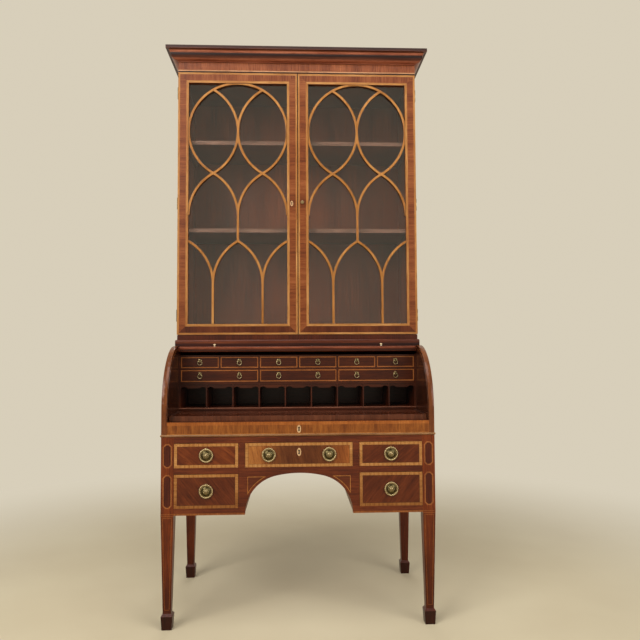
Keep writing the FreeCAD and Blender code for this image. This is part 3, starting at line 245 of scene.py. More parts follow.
def finish_node(name, material, rounding=0.0007):
    """Gives a CAD piece its finish, and its edges the small rounding that sanding and polish leave."""
    piece = nodes[name]
    piece.data.materials.clear()
    piece.data.materials.append(material)
    if rounding:
        weld = piece.modifiers.new("joined_corners", "WELD")
        weld.merge_threshold = 1e-5
        bevel = piece.modifiers.new("sanded_edges", "BEVEL")
        bevel.width = rounding
        bevel.segments = 2
        bevel.limit_method = "ANGLE"
        bevel.angle_limit = math.radians(40)
        bevel.harden_normals = True


def lay_veneer(name, body, patches, depth, proud=0.00025, sunk=0.0006):
    """Thin wood laid on a face: each patch has a material, an outline of (x, z) points that runs
    counter-clockwise from the front, and how far it stands above the patches under it."""
    sheet = bmesh.new()
    finishes = []
    for material, outline, lift in patches:
        if material not in finishes:
            finishes.append(material)
        upper = [sheet.verts.new((x, depth(x, z) - proud - lift, z)) for x, z in outline]
        lower = [sheet.verts.new((x, depth(x, z) + sunk, z)) for x, z in outline]
        faces = [sheet.faces.new(upper)]
        for n in range(len(outline)):
            m = (n + 1) % len(outline)
            faces.append(sheet.faces.new((upper[n], lower[n], lower[m], upper[m])))
        for face in faces:
            face.material_index = finishes.index(material)
    mesh = bpy.data.meshes.new(name)
    sheet.to_mesh(mesh)
    sheet.free()
    for material in finishes:
        mesh.materials.append(material)
    piece = bpy.data.objects.new(name, mesh)
    bpy.context.scene.collection.objects.link(piece)
    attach(piece, body)
    return piece


def rectangle(x0, x1, z0, z1):
    return [(x0, z0), (x1, z0), (x1, z1), (x0, z1)]


# Mahogany under French polish is red-brown, with long darker streaks and fine open pores under a soft gloss.
# The feet are darker, and a painted shade darkens the legs more and more towards the floor.
leg_low, leg_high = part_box("legs")
front, back = leg_low.y, leg_high.y
half_width = leg_high.x
foot_top, foot_shoulder, taper_top = 0.054, 0.046, 0.386
leg_size, leg_toe = 0.044, 0.028
leg_wood = polished_wood(
    "french_polished_mahogany_post", ("#34140a", "#471d0f", "#5a2916"), "Z",
    beyond=(2, foot_shoulder, ("#4c1b06", "#672a0b", "#7e3912")),
    shade=(2, [(0.05, "#bca89c"), (0.37, "#e2d8d2"), (0.40, "#ffffff")]),
)
finish_node("legs", leg_wood)

# Boxwood is pale and close-grained. Sawn into strips and darkened with handling, it reads as thin lines a
# little lighter than the leg. Tulipwood edges each panel with a warm brown, round a very dark red mahogany.
leg_line = polished_wood("darkened_boxwood_leg_line", ("#703b18", "#854a20", "#96582a"), "Z", streak=0.002)
tulipwood = polished_wood("polished_tulipwood_edging", ("#753d1b", "#8c5026", "#a06231"), "Z", streak=0.002)
post_dark = polished_wood("dark_mahogany_panel", ("#330f06", "#461808", "#59230c"), "Z")
post_x = half_width - leg_size / 2
bands_low, band_gap, leg_band = 0.3825, 0.0065, 0.002
line_width, line_inset, foot_margin, band_margin = 0.0015, 0.0055, 0.012, 0.006
line_low, line_high = foot_top + foot_margin, bands_low - band_margin
drawer_levels = [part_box("lower_left_drawer"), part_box("upper_left_drawer")]
panel_width, panel_cant, panel_edge = 0.032, 0.010, 0.0045
overlaid = 0.0001


def leg_half(z):
    """Half the square of a leg at a height, with its taper below the case."""
    share = (z - foot_top) / (taper_top - foot_top)
    return min(leg_size, leg_toe + (leg_size - leg_toe) * share) / 2


def leg_face(x, z):
    return front + leg_size / 2 - leg_half(z)


def canted_panel(x, z0, z1, inset):
    """A tall panel with its four corners cut off."""
    u = panel_width / 2 - inset
    low, high, cant = z0 + inset, z1 - inset, panel_cant - inset * 0.6
    return [(x - u + cant, low), (x + u - cant, low), (x + u, low + cant), (x + u, high - cant),
            (x + u - cant, high), (x - u + cant, high), (x - u, high - cant), (x - u, low + cant)]


for side, x in (("left", -post_x), ("right", post_x)):
    patches = []
    for way in (-1, 1):
        edge_low = x + way * (leg_half(line_low) - line_inset)
        edge_high = x + way * (leg_half(line_high) - line_inset)
        ends = sorted((0, -way * line_width))
        patches.append((leg_line, [
            (edge_low + ends[0], line_low), (edge_low + ends[1], line_low),
            (edge_high + ends[1], line_high), (edge_high + ends[0], line_high),
        ], 0))
    for level in (line_low, line_high):
        reach = leg_half(level) - line_inset
        patches.append((leg_line, rectangle(x - reach, x + reach, level, level + line_width), 0))
    for level in (bands_low, bands_low + band_gap):
        reach = leg_half(level)
        patches.append((leg_line, rectangle(x - reach, x + reach, level, level + leg_band), 0))
    for low, high in drawer_levels:
        patches.append((tulipwood, canted_panel(x, low.z, high.z, 0), 0))
        patches.append((post_dark, canted_panel(x, low.z, high.z, panel_edge), overlaid))
    lay_veneer(f"{side}_leg_lines", "case", patches, leg_face)

# Side panels and backs: mahogany boards let in between the posts, with plain stained pine behind.
# Pine under stain is a flat, paler brown with wide soft grain.
mahogany = ("#4b1f0b", "#652d11", "#7c3d1a")
stained_pine = ("#5c3d24", "#6f4c2e", "#7e5a38")
pine_depth = 0.03
panel_wood = polished_wood("mahogany_panel_pine_back", mahogany, "Z", figure=0.08,
                           beyond=(1, back - pine_depth, stained_pine))
finish_node("desk_panels", panel_wood)

# Front rails: mahogany rails tenoned between the posts, with two short stiles beside the middle drawer.
# A cross-cut band of satinwood, brown with age, runs along the lower edge of the bottom rails.
dark_mahogany = ("#41190a", "#58240e", "#6e3316")
rail_wood = polished_wood("french_polished_mahogany_rail", dark_mahogany, "X")
finish_node("desk_front_rails", rail_wood)
bottom_band, arch_half = 0.006, 0.1868
inner_x = half_width - leg_size
foot_band = polished_wood("satinwood_rail_foot_band", ("#6f3a16", "#834a20", "#96592c"), "Z", streak=0.003)


def front_face(x, z):
    return front


for side, (x0, x1) in (("left", (-inner_x, -arch_half)), ("right", (arch_half, inner_x))):
    edge = [(foot_band, rectangle(x0, x1, taper_top, taper_top + bottom_band), 0)]
    lay_veneer(f"{side}_rail_band", "case", edge, front_face)

# Kneehole arch: one mahogany board sawn to a three-centred arch, with a lower stile on each side. A dark
# curved triangle is inlaid in each corner above it. Boxwood round it still reads as a clean light line.
finish_node("kneehole_arch", rail_wood)
arch_rise, crown_radius = 0.140, 0.371
haunch_radius = arch_half ** 2 + arch_rise ** 2 - 2 * arch_rise * crown_radius
haunch_radius /= 2 * (arch_half - crown_radius)
haunch_x = arch_half - haunch_radius
corner_x, corner_z = 0.1785, 0.515
edge_margin, edge_line = 0.009, 0.0018
boxwood = polished_wood("polished_boxwood_line", ("#8d5527", "#a7692f", "#b97d40"), "Z", streak=0.002,
                        figure=0.02)
corner_wood = polished_wood("mahogany_arch_corner", ("#3f180a", "#51220e", "#632d14"), "X")


def spandrel(way, inset, steps=10):
    """The corner panel on one side of the arch, its edges moved in by an inset."""
    radius = haunch_radius + edge_margin + inset
    x_out, z_top = corner_x - inset, corner_z - inset
    start = math.asin((z_top - taper_top) / radius)
    end = math.acos((x_out - haunch_x) / radius)
    turns = [start + (end - start) * n / steps for n in range(steps + 1)]
    curve = [(haunch_x + radius * math.cos(a), taper_top + radius * math.sin(a)) for a in turns]
    points = [(way * x, z) for x, z in [(x_out, z_top)] + curve]
    return points if way < 0 else points[::-1]


for side, way in (("left", -1), ("right", 1)):
    patches = [(boxwood, spandrel(way, 0), 0), (corner_wood, spandrel(way, edge_line), overlaid)]
    lay_veneer(f"{side}_arch_corner", "case", patches, front_face)

# Inside the stand: partitions, dust boards and guides of plain oak and pine, glued and nailed. Unpolished
# wood has a dull brown face with open grain, and the bed under the writing slide is stained dark.
bed_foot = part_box("fall_rail")[0].z
inner_oak = polished_wood("plain_oak", ("#6b4a2c", "#83603c", "#97744c"), "Y", gloss=0.6,
                          beyond=(2, bed_foot, ("#2b1309", "#3a1b0d", "#4a2513")))
finish_node("dividers_runners_and_bed", inner_oak)

# Waist board with a rounded edge, and the desk's top board with its moulded edge: solid mahogany, glued and
# screwed on. The waist's board is lighter, and a painted shade darkens the top board along its foot.
waist_low, top_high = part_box("waist_and_top_boards")
top_thickness, painted_shade_foot, above_waist = 0.023, 0.008, 0.05
foot_high = top_high.z - top_thickness + painted_shade_foot
board_wood = polished_wood(
    "mahogany_board_painted_shade", ("#6f4826", "#835a34", "#966c42"), "X",
    beyond=(2, waist_low.z + above_waist, ("#40180a", "#54230e", "#663016")),
    shade=(2, [
        (waist_low.z, "#ffffff"), (waist_low.z + 0.06, "#ffffff"), (waist_low.z + 0.07, "#8c6656"),
        (foot_high, "#8c6656"), (foot_high + 0.002, "#ffffff"), (top_high.z, "#ffffff"),
    ]),
)
finish_node("waist_and_top_boards", board_wood)


# Drawers of the stand: mahogany fronts on oak sides, dovetailed. Each front has a field of figured veneer,
# a dark line and a satinwood band round its edge. The middle field is paler towards its ends.
def mitred_band(x0, x1, z0, z1, width):
    """The four mitred strips of a band just inside a rectangle: two level ones, then two upright ones."""
    u0, u1, v0, v1 = x0 + width, x1 - width, z0 + width, z1 - width
    level = [[(x0, z0), (x1, z0), (u1, v0), (u0, v0)], [(x1, z1), (x0, z1), (u0, v1), (u1, v1)]]
    upright = [[(x1, z0), (x1, z1), (u1, v1), (u1, v0)], [(x0, z1), (x0, z0), (u0, v0), (u0, v1)]]
    return level, upright


# Satinwood cross-banding is short pieces laid with their grain across the band, so that the level bands show
# small blocks of lighter and darker gold. It is painted darker on the lower drawers, as shade.
band_width, block_length = 0.010, 0.0078
satinwood = ("#8a5426", "#a56f38", "#bc8850")
painted_shade_low = (2, [(0.42, "#d0c0b0"), (0.56, "#ffffff")])
level_band = polished_wood("satinwood_band_level", satinwood, "Z", streak=0.002, blocks=(block_length, "X"),
                           shade=painted_shade_low)
upright_band = polished_wood("satinwood_band_upright", satinwood, "X", streak=0.002, shade=painted_shade_low)

# Curl mahogany is cut where the tree forks, and its figure slants across the field. The ebonised line is dyed
# almost black, and the plain oak of the sides is paler than the fronts.
dark_line, front_thickness = 0.0008, 0.020
oak_tones = ("#76532f", "#8c673f", "#a07c52")
drawer_wood = polished_wood(
    "mahogany_front_oak_sides", dark_mahogany, "X", beyond=(1, front + front_thickness, oak_tones),
)
# The same dark line also paints the shadow strips at the frieze's foot and where the doors meet.
ebony_and_shadow_line = polished_wood("ebonised_line_and_painted_shadow", ("#22100a", "#2c160e", "#382014"), "X")
curl = ("#4b1c08", "#622a0d", "#773915")
# The upper right and the two lower fields take darker tones than the upper left one, a painted shade.
shaded_curl = ("#411706", "#55230b", "#682f12")
field_slants = {"upper_left": -38, "upper_right": 38, "lower_left": -52, "lower_right": 52, "middle": 12}
pale_ends = (0, [
    (-0.176, "#fff6e6"), (-0.115, "#d8bca6"), (-0.06, "#90766c"),
    (0.06, "#866a5e"), (0.115, "#b0907e"), (0.176, "#e0c0a6"),
])
for which, slant in field_slants.items():
    if which == "middle":
        field = polished_wood("curl_mahogany_middle", ("#8a5226", "#a56d38", "#b98048"), "Z", figure=0.03,
                              slant=slant, shade=pale_ends)
    else:
        tones = curl if which == "upper_left" else shaded_curl
        field = polished_wood(f"curl_mahogany_{which}", tones, "X", streak=0.005, figure=0.022, slant=slant)
    finish_node(f"{which}_drawer", drawer_wood)
    low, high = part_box(f"{which}_drawer")
    level, upright = mitred_band(low.x, high.x, low.z, high.z, band_width)
    patches = [(level_band, outline, 0) for outline in level]
    patches += [(upright_band, outline, 0) for outline in upright]
    x0, x1, z0, z1 = low.x + band_width, high.x - band_width, low.z + band_width, high.z - band_width
    level, upright = mitred_band(x0, x1, z0, z1, dark_line)
    patches += [(ebony_and_shadow_line, outline, 0) for outline in level + upright]
    inner = rectangle(x0 + dark_line, x1 - dark_line, z0 + dark_line, z1 - dark_line)
    patches.append((field, inner, 0))
    lay_veneer(f"{which}_drawer_veneer", f"{which}_drawer", patches, front_face)


# Ring handles: cast and chased brass. A dished plate with a leaf-edged boss carries an eye at its top, and a
# beaded ring hangs in it. Old lacquer and polish leave brass dull in its hollows and bright on its ridges.
def aged_brass(name, low_colour, high_colour, cloud):
    """Brass that has darkened unevenly: dull colour, bright colour and the width of its clouds in metres."""
    material, tree = new_material(name)
    place = add(tree, "ShaderNodeTexCoord").outputs["Object"]
    spots = add(tree, "ShaderNodeTexNoise", {"Vector": place, "Scale": 1 / cloud, "Detail": 4.0})
    ridges = add(tree, "ShaderNodeNewGeometry")
    raised = add(tree, "ShaderNodeMapRange", {0: ridges.outputs["Pointiness"], 1: 0.44, 2: 0.58})
    bright = add(tree, "ShaderNodeMix", {0: 0.5, 2: spots.outputs[0], 3: raised.outputs[0]})
    tone = add(tree, "ShaderNodeValToRGB", {0: bright.outputs[0]}, [(0.3, low_colour), (0.65, high_colour)])
    rough = add(tree, "ShaderNodeMapRange", {0: spots.outputs[0], 3: 0.36, 4: 0.2})

    # The grit of the casting sand is a quarter of this. It is drawn coarser, so that it shows.
    grit_width = 0.0008
    grit = add(tree, "ShaderNodeTexNoise", {"Vector": place, "Scale": 1 / grit_width, "Detail": 2.0})
    bump = add(tree, "ShaderNodeBump", {"Height": grit.outputs[0], "Strength": 0.1, "Distance": 0.0002})
    shader = add(tree, "ShaderNodeBsdfPrincipled", {
        "Base Color": tone.outputs[0], "Metallic": 1.0, "Roughness": rough.outputs[0],
        "Normal": bump.outputs[0],
    })
    add(tree, "ShaderNodeOutputMaterial", {"Surface": shader.outputs[0]})
    return material


brass = aged_brass("aged_cast_brass", "#62523a", "#a9966f", 0.006)
boss_brass = aged_brass("aged_brass_boss", "#463b27", "#857551", 0.005)
# The dish is dark with tarnish, and its darkness also paints the shade that the ring casts in it.
tarnish_and_shade_brass = aged_brass("tarnished_and_shaded_brass_dish", "#2e2818", "#5c5236", 0.006)


def add_piece(name, mesh_data, material, body):
    """Puts a finished mesh in the scene with its material and the body that it moves with."""
    mesh = bpy.data.meshes.new(name)
    mesh_data.to_mesh(mesh)
    mesh_data.free()
    mesh.materials.append(material)
    mesh.polygons.foreach_set("use_smooth", [True] * len(mesh.polygons))
    piece = bpy.data.objects.new(name, mesh)
    bpy.context.scene.collection.objects.link(piece)
    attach(piece, body)
    return piece


def turn(profile, centre, axis, steps=72, leaves=0, leaf_height=0.0):
    """A turned piece: (radius, height) pairs from its base to its top, along an axis from a centre.
    leaves raises that many low ridges round it, most in the middle of the profile."""
    turned = bmesh.new()
    upright = Vector((0, 0, 1)).rotation_difference(Vector(axis)).to_matrix()
    rings = []
    for level, (radius, height) in enumerate(profile):
        share = math.sin(math.pi * level / (len(profile) - 1))
        ring = []
        for n in range(steps):
            angle = 2 * math.pi * n / steps
            rise = leaf_height * share * (0.5 + 0.5 * math.cos(leaves * angle)) if leaves else 0
            point = Vector((radius * math.cos(angle), radius * math.sin(angle), height + rise))
            ring.append(turned.verts.new(Vector(centre) + upright @ point))
        rings.append(ring)
    for lower, upper in zip(rings, rings[1:]):
        for n in range(steps):
            m = (n + 1) % steps
            turned.faces.new((lower[n], lower[m], upper[m], upper[n]))
    turned.faces.new(rings[-1])
    return turned


def bend_ring(centre, radius, wire, beads=0, steps=64, sides=12):
    """A ring of wire that hangs in a front, with beads cut round it."""
    ring = bmesh.new()
    loops = []
    for n in range(steps):
        angle = 2 * math.pi * n / steps
        thick = wire * (0.86 + 0.14 * abs(math.cos(beads * angle / 2))) if beads else wire
        loop = []
        for k in range(sides):
            round_wire = 2 * math.pi * k / sides
            reach = radius + thick * math.cos(round_wire)
            offset = Vector((reach * math.sin(angle), thick * math.sin(round_wire), reach * math.cos(angle)))
            loop.append(ring.verts.new(Vector(centre) + offset))
        loops.append(loop)
    for n in range(steps):
        here, there = loops[n], loops[(n + 1) % steps]
        for k in range(sides):
            m = (k + 1) % sides
            ring.faces.new((here[k], there[k], there[m], here[m]))
    return ring


rim_profile = [
    (0.0242, 0.0), (0.0243, 0.0014), (0.0236, 0.0017),
    (0.0215, 0.0018), (0.0185, 0.0020), (0.0170, 0.0019),
]
dish_profile = [
    (0.0172, 0.0016), (0.0168, 0.0022), (0.0152, 0.0022),
    (0.0141, 0.0026), (0.0124, 0.0042), (0.0102, 0.0045),
]
boss_profile = [
    (0.0106, 0.0040), (0.0105, 0.0050), (0.0098, 0.0058),
    (0.0084, 0.0062), (0.0072, 0.0063), (0.0060, 0.0066),
]
button_profile = [(0.0062, 0.0060), (0.0060, 0.0069), (0.0050, 0.0072), (0.0036, 0.0080), (0.0012, 0.0083)]
boss_leaves, leaf_height = 16, 0.0008
plate_parts = [
    ("rim", rim_profile, brass, 72, 0), ("dish", dish_profile, tarnish_and_shade_brass, 72, 0),
    ("boss", boss_profile, boss_brass, 96, boss_leaves), ("button", button_profile, brass, 32, 0),
]
ring_radius, ring_wire, ring_beads, ring_steps = 0.0218, 0.0029, 40, 240
forwards = (0, -1, 0)
handles = [
    ("upper_left_drawer", "upper_left_ring"), ("upper_right_drawer", "upper_right_ring"),
    ("lower_left_drawer", "lower_left_ring"), ("lower_right_drawer", "lower_right_ring"),
    ("middle_drawer", "middle_left_ring"), ("middle_drawer", "middle_right_ring"),
]
for drawer, ring_node in handles:
    low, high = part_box(ring_node)
    middle = (low + high) / 2
    drawer_low, drawer_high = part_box(drawer)
    plate_centre = (middle.x, front, (drawer_low.z + drawer_high.z) / 2)
    handle = ring_node.replace("_ring", "")
    for part, profile, metal, steps, leaves in plate_parts:
        turned = turn(profile, plate_centre, forwards, steps, leaves, leaf_height)
        add_piece(f"{handle}_handle_{part}", turned, metal, drawer)
    ring = bend_ring(middle, ring_radius, ring_wire, ring_beads, ring_steps)
    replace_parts(add_piece(f"{handle}_beaded_ring", ring, brass, ring_node), ring_node)
for which in ("upper_left", "upper_right", "lower_left", "lower_right"):
    finish_node(f"{which}_handle_plate", brass, 0)
finish_node("middle_handle_plates", brass, 0)


# Bone escutcheons: thin upright ovals of polished bone let into the front, each pierced for a key.
# Bone is a warm cream with faint darker flecks along it.
def polished_bone(name, tones):
    """Bone polished by hand: three tones from its flecks to its clear parts."""
    material, tree = new_material(name)
    place = add(tree, "ShaderNodeTexCoord").outputs["Object"]

    # Real flecks are a few tenths of a millimetre wide. They are drawn coarser, so that they show.
    fleck_width, fleck_length = 0.001, 0.008
    fleck = (1 / fleck_width, 1 / fleck_width, 1 / fleck_length)
    along = add(tree, "ShaderNodeVectorMath", {0: place, 1: fleck}, operation="MULTIPLY")
    flecks = add(tree, "ShaderNodeTexNoise", {"Vector": along.outputs[0], "Scale": 1.0, "Detail": 3.0})
    stops = [(0.32, tones[0]), (0.5, tones[1]), (0.7, tones[2])]
    cream = add(tree, "ShaderNodeValToRGB", {0: flecks.outputs[0]}, stops)
    rough = add(tree, "ShaderNodeMapRange", {0: flecks.outputs[0], 3: 0.42, 4: 0.28})
    bump = add(tree, "ShaderNodeBump", {"Height": flecks.outputs[0], "Strength": 0.08, "Distance": 0.0002})
    shader = add(tree, "ShaderNodeBsdfPrincipled", {
        "Base Color": cream.outputs[0], "Roughness": rough.outputs[0], "IOR": 1.54, "Subsurface Weight": 0.05,
        "Normal": bump.outputs[0],
    })
    add(tree, "ShaderNodeOutputMaterial", {"Surface": shader.outputs[0]})
    return material


bone = polished_bone("hand_polished_bone", ("#a1794c", "#c39a6c", "#d3ae84"))

# The keyhole is a flat patch painted near black, a painted shade that stands for the hole, with a little fine
# grime on it. A spot of grime is given as a share of the whole piece.
keyhole_shade, tree = new_material("painted_keyhole_shade")
grime_share = 0.002
grime = add(tree, "ShaderNodeTexNoise", {"Scale": 1 / grime_share})
grime_tone = add(tree, "ShaderNodeValToRGB", {0: grime.outputs[0]}, [(0.4, "#0c0806"), (0.6, "#17100c")])
shader = add(tree, "ShaderNodeBsdfPrincipled", {"Base Color": grime_tone.outputs[0], "Roughness": 0.95})
add(tree, "ShaderNodeOutputMaterial", {"Surface": shader.outputs[0]})


def oval(x, z, half_x, half_z, steps=32):
    turns = [2 * math.pi * n / steps for n in range(steps)]
    return [(x + half_x * math.cos(a), z + half_z * math.sin(a)) for a in turns]


def escutcheon(name, body, x, z, half_x, half_z, depth, steps=20, bone_lift=0.0004, hole_lift=0.0005):
    """A bone oval with a keyhole painted dark on it as shade: a round hole over a slot that widens at its
    foot.
    """
    hole, foot = half_x * 0.42, half_x * 0.38
    hole_z, foot_z, slot_half = z + half_z * 0.32, z - half_z * 0.30, half_x * 0.24
    patches = [
        (bone, oval(x, z, half_x, half_z), bone_lift),
        (keyhole_shade, oval(x, hole_z, hole, hole * 1.1, steps), hole_lift),
        (keyhole_shade, oval(x, foot_z, foot, foot * 1.2, steps), hole_lift),
        (keyhole_shade, rectangle(x - slot_half, x + slot_half, foot_z, hole_z), hole_lift),
    ]
    lay_veneer(name, body, patches, depth)


drawer_lock_z, bone_half_x, bone_half_z = 0.598, 0.0072, 0.0140
escutcheon("middle_drawer_escutcheon", "middle_drawer", 0, drawer_lock_z, bone_half_x, bone_half_z,
           front_face)

# Curved sides of the cylinder: mahogany boards sawn to a quarter circle, with an arc groove inside in which
# the fall runs. Their inner faces are painted darker as shade, and the edge and outside are a lighter
# red-brown.
board_thickness, arris = 0.019, 0.0005
cheek = half_width - board_thickness
side_wood = polished_wood("french_polished_mahogany_side", ("#2c150c", "#3a1c10", "#482516"), "Z", gloss=0.2,
                          beyond=(0, cheek + arris, ("#50250d", "#693718", "#7d4822")))
finish_node("cylinder_sides", side_wood)

# Fall rail: a mahogany rail between the curved sides, veneered across with golden mahogany. A lighter band
# runs along its top and a boxwood line along its foot, and the lock's escutcheon sits in its middle.
finish_node("fall_rail", rail_wood)
rail_low, rail_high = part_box("fall_rail")
top_band, foot_line = 0.011, 0.002
rail_lock_z, rail_bone_half_z = 0.6775, 0.0138
golden = ("#653210", "#7f4518", "#955822")
amber_band = polished_wood("satinwood_rail_band", ("#824517", "#965320", "#a8652d"), "Z", streak=0.003)
golden_cross = polished_wood("golden_mahogany_cross", golden, "Z", streak=0.003, figure=0.018)
patches = [
    (boxwood, rectangle(rail_low.x, rail_high.x, rail_low.z, rail_low.z + foot_line), 0),
    (golden_cross, rectangle(rail_low.x, rail_high.x, rail_low.z + foot_line, rail_high.z - top_band), 0),
    (amber_band, rectangle(rail_low.x, rail_high.x, rail_high.z - top_band, rail_high.z), 0),
]
lay_veneer("fall_rail_veneer", "case", patches, front_face)
escutcheon("fall_rail_escutcheon", "case", 0, rail_lock_z, bone_half_x, rail_bone_half_z, front_face)

# Cylinder fall: staves of mahogany glued into a curved shell with a thick lip, rolled back here under the top
# board. Strips on the lip paint light and shade on its rounded nose: a painted highlight along its upper edge
# and painted shade towards its foot. Two small turned bone knobs stand on the lip.
fall_wood = polished_wood("french_polished_mahogany_fall", dark_mahogany, "X", figure=0.08)
lip_rounding, lip_thickness, lip_angle, lip_end = 0.003, 0.021, math.radians(83.5), 0.012
finish_node("fall_shell", fall_wood, lip_rounding)
knob_bone = polished_bone("turned_bone_knob", ("#c4a273", "#dfc59c", "#ecd9b8"))
finish_node("fall_knobs", knob_bone, 0)
cylinder_radius, fall_gap, axis_z = 0.226, 0.001, 0.743
axis_point = Vector((0, front + cylinder_radius, axis_z))
lip_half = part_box("fall_shell")[1].x - lip_end
lip_top = axis_z + (cylinder_radius - fall_gap) * math.sin(lip_angle) - lip_rounding
lip_foot = lip_top - lip_thickness + 2 * lip_rounding


def lip_face(x, z):
    return axis_point.y - (z - axis_z) / math.tan(lip_angle)


# Each strip of painted light and shade on the lip has its tones, and the share of the lip's height at which
# it ends.
lip_strips = [
    ("painted_highlight_mahogany_lip", ("#6a3420", "#84452c", "#9a583c"), 0.30),
    ("painted_half_shade_mahogany_lip", ("#3c1507", "#4f1e0a", "#602a12"), 0.66),
    ("shaded_mahogany_lip", ("#260d06", "#331409", "#40190c"), 1.0),
]
patches = []
start = lip_top
for name, tones, share in lip_strips:
    end = lip_top + (lip_foot - lip_top) * share
    patches.append((polished_wood(name, tones, "X"), rectangle(-lip_half, lip_half, end, start), 0))
    start = end
lay_veneer("fall_lip_painted_light", "fall", patches, lip_face)
knob_spread, knob_angle, knob_steps = 0.637, math.radians(85.1), 32
knob_profile = [
    (0.0034, -0.0006), (0.0029, 0.0012), (0.0023, 0.0032), (0.0034, 0.0044),
    (0.0046, 0.0056), (0.0046, 0.0070), (0.0036, 0.0084), (0.0016, 0.0091),
]
outward = Vector((0, -math.cos(knob_angle), math.sin(knob_angle)))
for side, x in (("left", -knob_spread / 2), ("right", knob_spread / 2)):
    foot = axis_point + outward * (cylinder_radius - fall_gap) + Vector((x, 0, 0))
    turned = turn(knob_profile, foot, outward, knob_steps)
    knob = add_piece(f"{side}_fall_knob", turned, knob_bone, "fall")
    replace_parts(knob, "fall_knobs")

# Writing slide: a polished mahogany board that pulls forwards. A lipping of cross-cut pieces closes its
# front, a little wider than the board, so that it hides the guides on each side.
slide_wood = polished_wood("french_polished_mahogany_slide", ("#331509", "#451d0e", "#582a17"), "X",
                           gloss=0.16)
finish_node("writing_slide", slide_wood)
slide_low, slide_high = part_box("writing_slide")
slide_edge = polished_wood("mahogany_slide_edge", ("#43200f", "#5a2e19", "#6e3d25"), "Z", streak=0.003)
cheek_clearance, lipping_depth, margin = 0.0015, 0.030, 0.0003
lipping_half = cheek - cheek_clearance
lipping = rectangle(-lipping_half, lipping_half, slide_low.z + margin, slide_high.z - margin)
lay_veneer("writing_slide_lipping", "writing_slide", [(slide_edge, lipping, 0)],
           lambda x, z: slide_low.y, sunk=lipping_depth)

# Nest: thin mahogany boards housed into each other, with pigeonholes under scalloped valances and two rows of
# drawers above. Its wood is darker than the case's, and a painted highlight runs along the front edge of its
# base.
nest_wood = polished_wood("mahogany_nest", ("#2b0f06", "#3b1607", "#4d200b"), "X", streak=0.003)
thin_edge = 0.0004
finish_node("nest_case", nest_wood, thin_edge)
nest_low, nest_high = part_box("nest_case")
base_thickness, highlight_width = 0.010, 0.003
lit_edge_wood = polished_wood("painted_highlight_mahogany_edge", ("#6b4030", "#85543f", "#9a6850"), "X", streak=0.003)
base_top = nest_low.z + base_thickness


def nest_face(x, z):
    return nest_low.y


edge = [(lit_edge_wood, rectangle(nest_low.x, nest_high.x, base_top - highlight_width, base_top), 0)]
lay_veneer("nest_base_edge", "case", edge, nest_face)

# Drawers of the nest: mahogany fronts with a satinwood line round their edge, on thin oak sides.
# Each has one or two small drop rings.
nest_band = 0.0038
nest_front_thickness = 0.010
nest_drawer_wood = polished_wood(
    "mahogany_nest_drawer", ("#2c0d04", "#3c1405", "#4d1f08"), "X", streak=0.003,
    beyond=(1, nest_low.y + nest_front_thickness, oak_tones),
)
nest_line = ("#7a421a", "#925324", "#a76634")
nest_level = polished_wood("satinwood_nest_line_level", nest_line, "X", streak=0.002)
nest_upright = polished_wood("satinwood_nest_line_upright", nest_line, "Z", streak=0.002)
nest_drawers = [f"small_drawer_{n}" for n in range(1, 7)]
nest_drawers += [f"wide_drawer_{where}" for where in ("left", "middle", "right")]
for name in nest_drawers:
    finish_node(name, nest_drawer_wood, 0)
    low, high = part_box(name)
    level, upright = mitred_band(low.x, high.x, low.z, high.z, nest_band)
    patches = [(nest_level, outline, 0) for outline in level]
    patches += [(nest_upright, outline, 0) for outline in upright]
    lay_veneer(f"{name}_line", name, patches, nest_face)

# Drop rings of the nest drawers: a small domed brass plate, an eye pinned through it into the front, and a
# plain ring of drawn brass wire that hangs in the eye.
drop_radius, drop_wire, plate_steps = 0.0081, 0.0014, 32
drop_plate = [(0.0072, -0.0004), (0.0072, 0.0006), (0.0066, 0.0011), (0.0050, 0.0013), (0.0020, 0.0014)]
eye_outer, eye_inner, eye_half, eye_stand = 0.0034, 0.0018, 0.0017, 0.0034


def bent_eye(centre, steps=20):
    """A short tube across the front, for the ring to hang in."""
    tube = bmesh.new()
    section = [(eye_outer, -eye_half), (eye_outer, eye_half), (eye_inner, eye_half), (eye_inner, -eye_half)]
    loops = []
    for n in range(steps):
        angle = 2 * math.pi * n / steps
        loops.append([
            tube.verts.new(Vector(centre) + Vector((x, radius * math.sin(angle), radius * math.cos(angle))))
            for radius, x in section
        ])
    for n in range(steps):
        here, there = loops[n], loops[(n + 1) % steps]
        for k in range(len(section)):
            m = (k + 1) % len(section)
            tube.faces.new((here[k], there[k], there[m], here[m]))
    return tube


for name in nest_drawers:
    endings = ["_ring"] if name.startswith("small") else ["_left_ring", "_right_ring"]
    for ending in endings:
        ring_node = name + ending
        low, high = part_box(ring_node)
        middle = (low + high) / 2
        eye = Vector((middle.x, nest_low.y - eye_stand, middle.z + drop_radius))
        plate = turn(drop_plate, (eye.x, nest_low.y, eye.z), forwards, plate_steps)
        add_piece(f"{ring_node}_plate", plate, boss_brass, name)
        add_piece(f"{ring_node}_eye", bent_eye(eye), brass, name)
        wire = bend_ring(middle, drop_radius, drop_wire)
        ring = add_piece(f"{ring_node}_wire", wire, brass, ring_node)
        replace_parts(ring, ring_node)

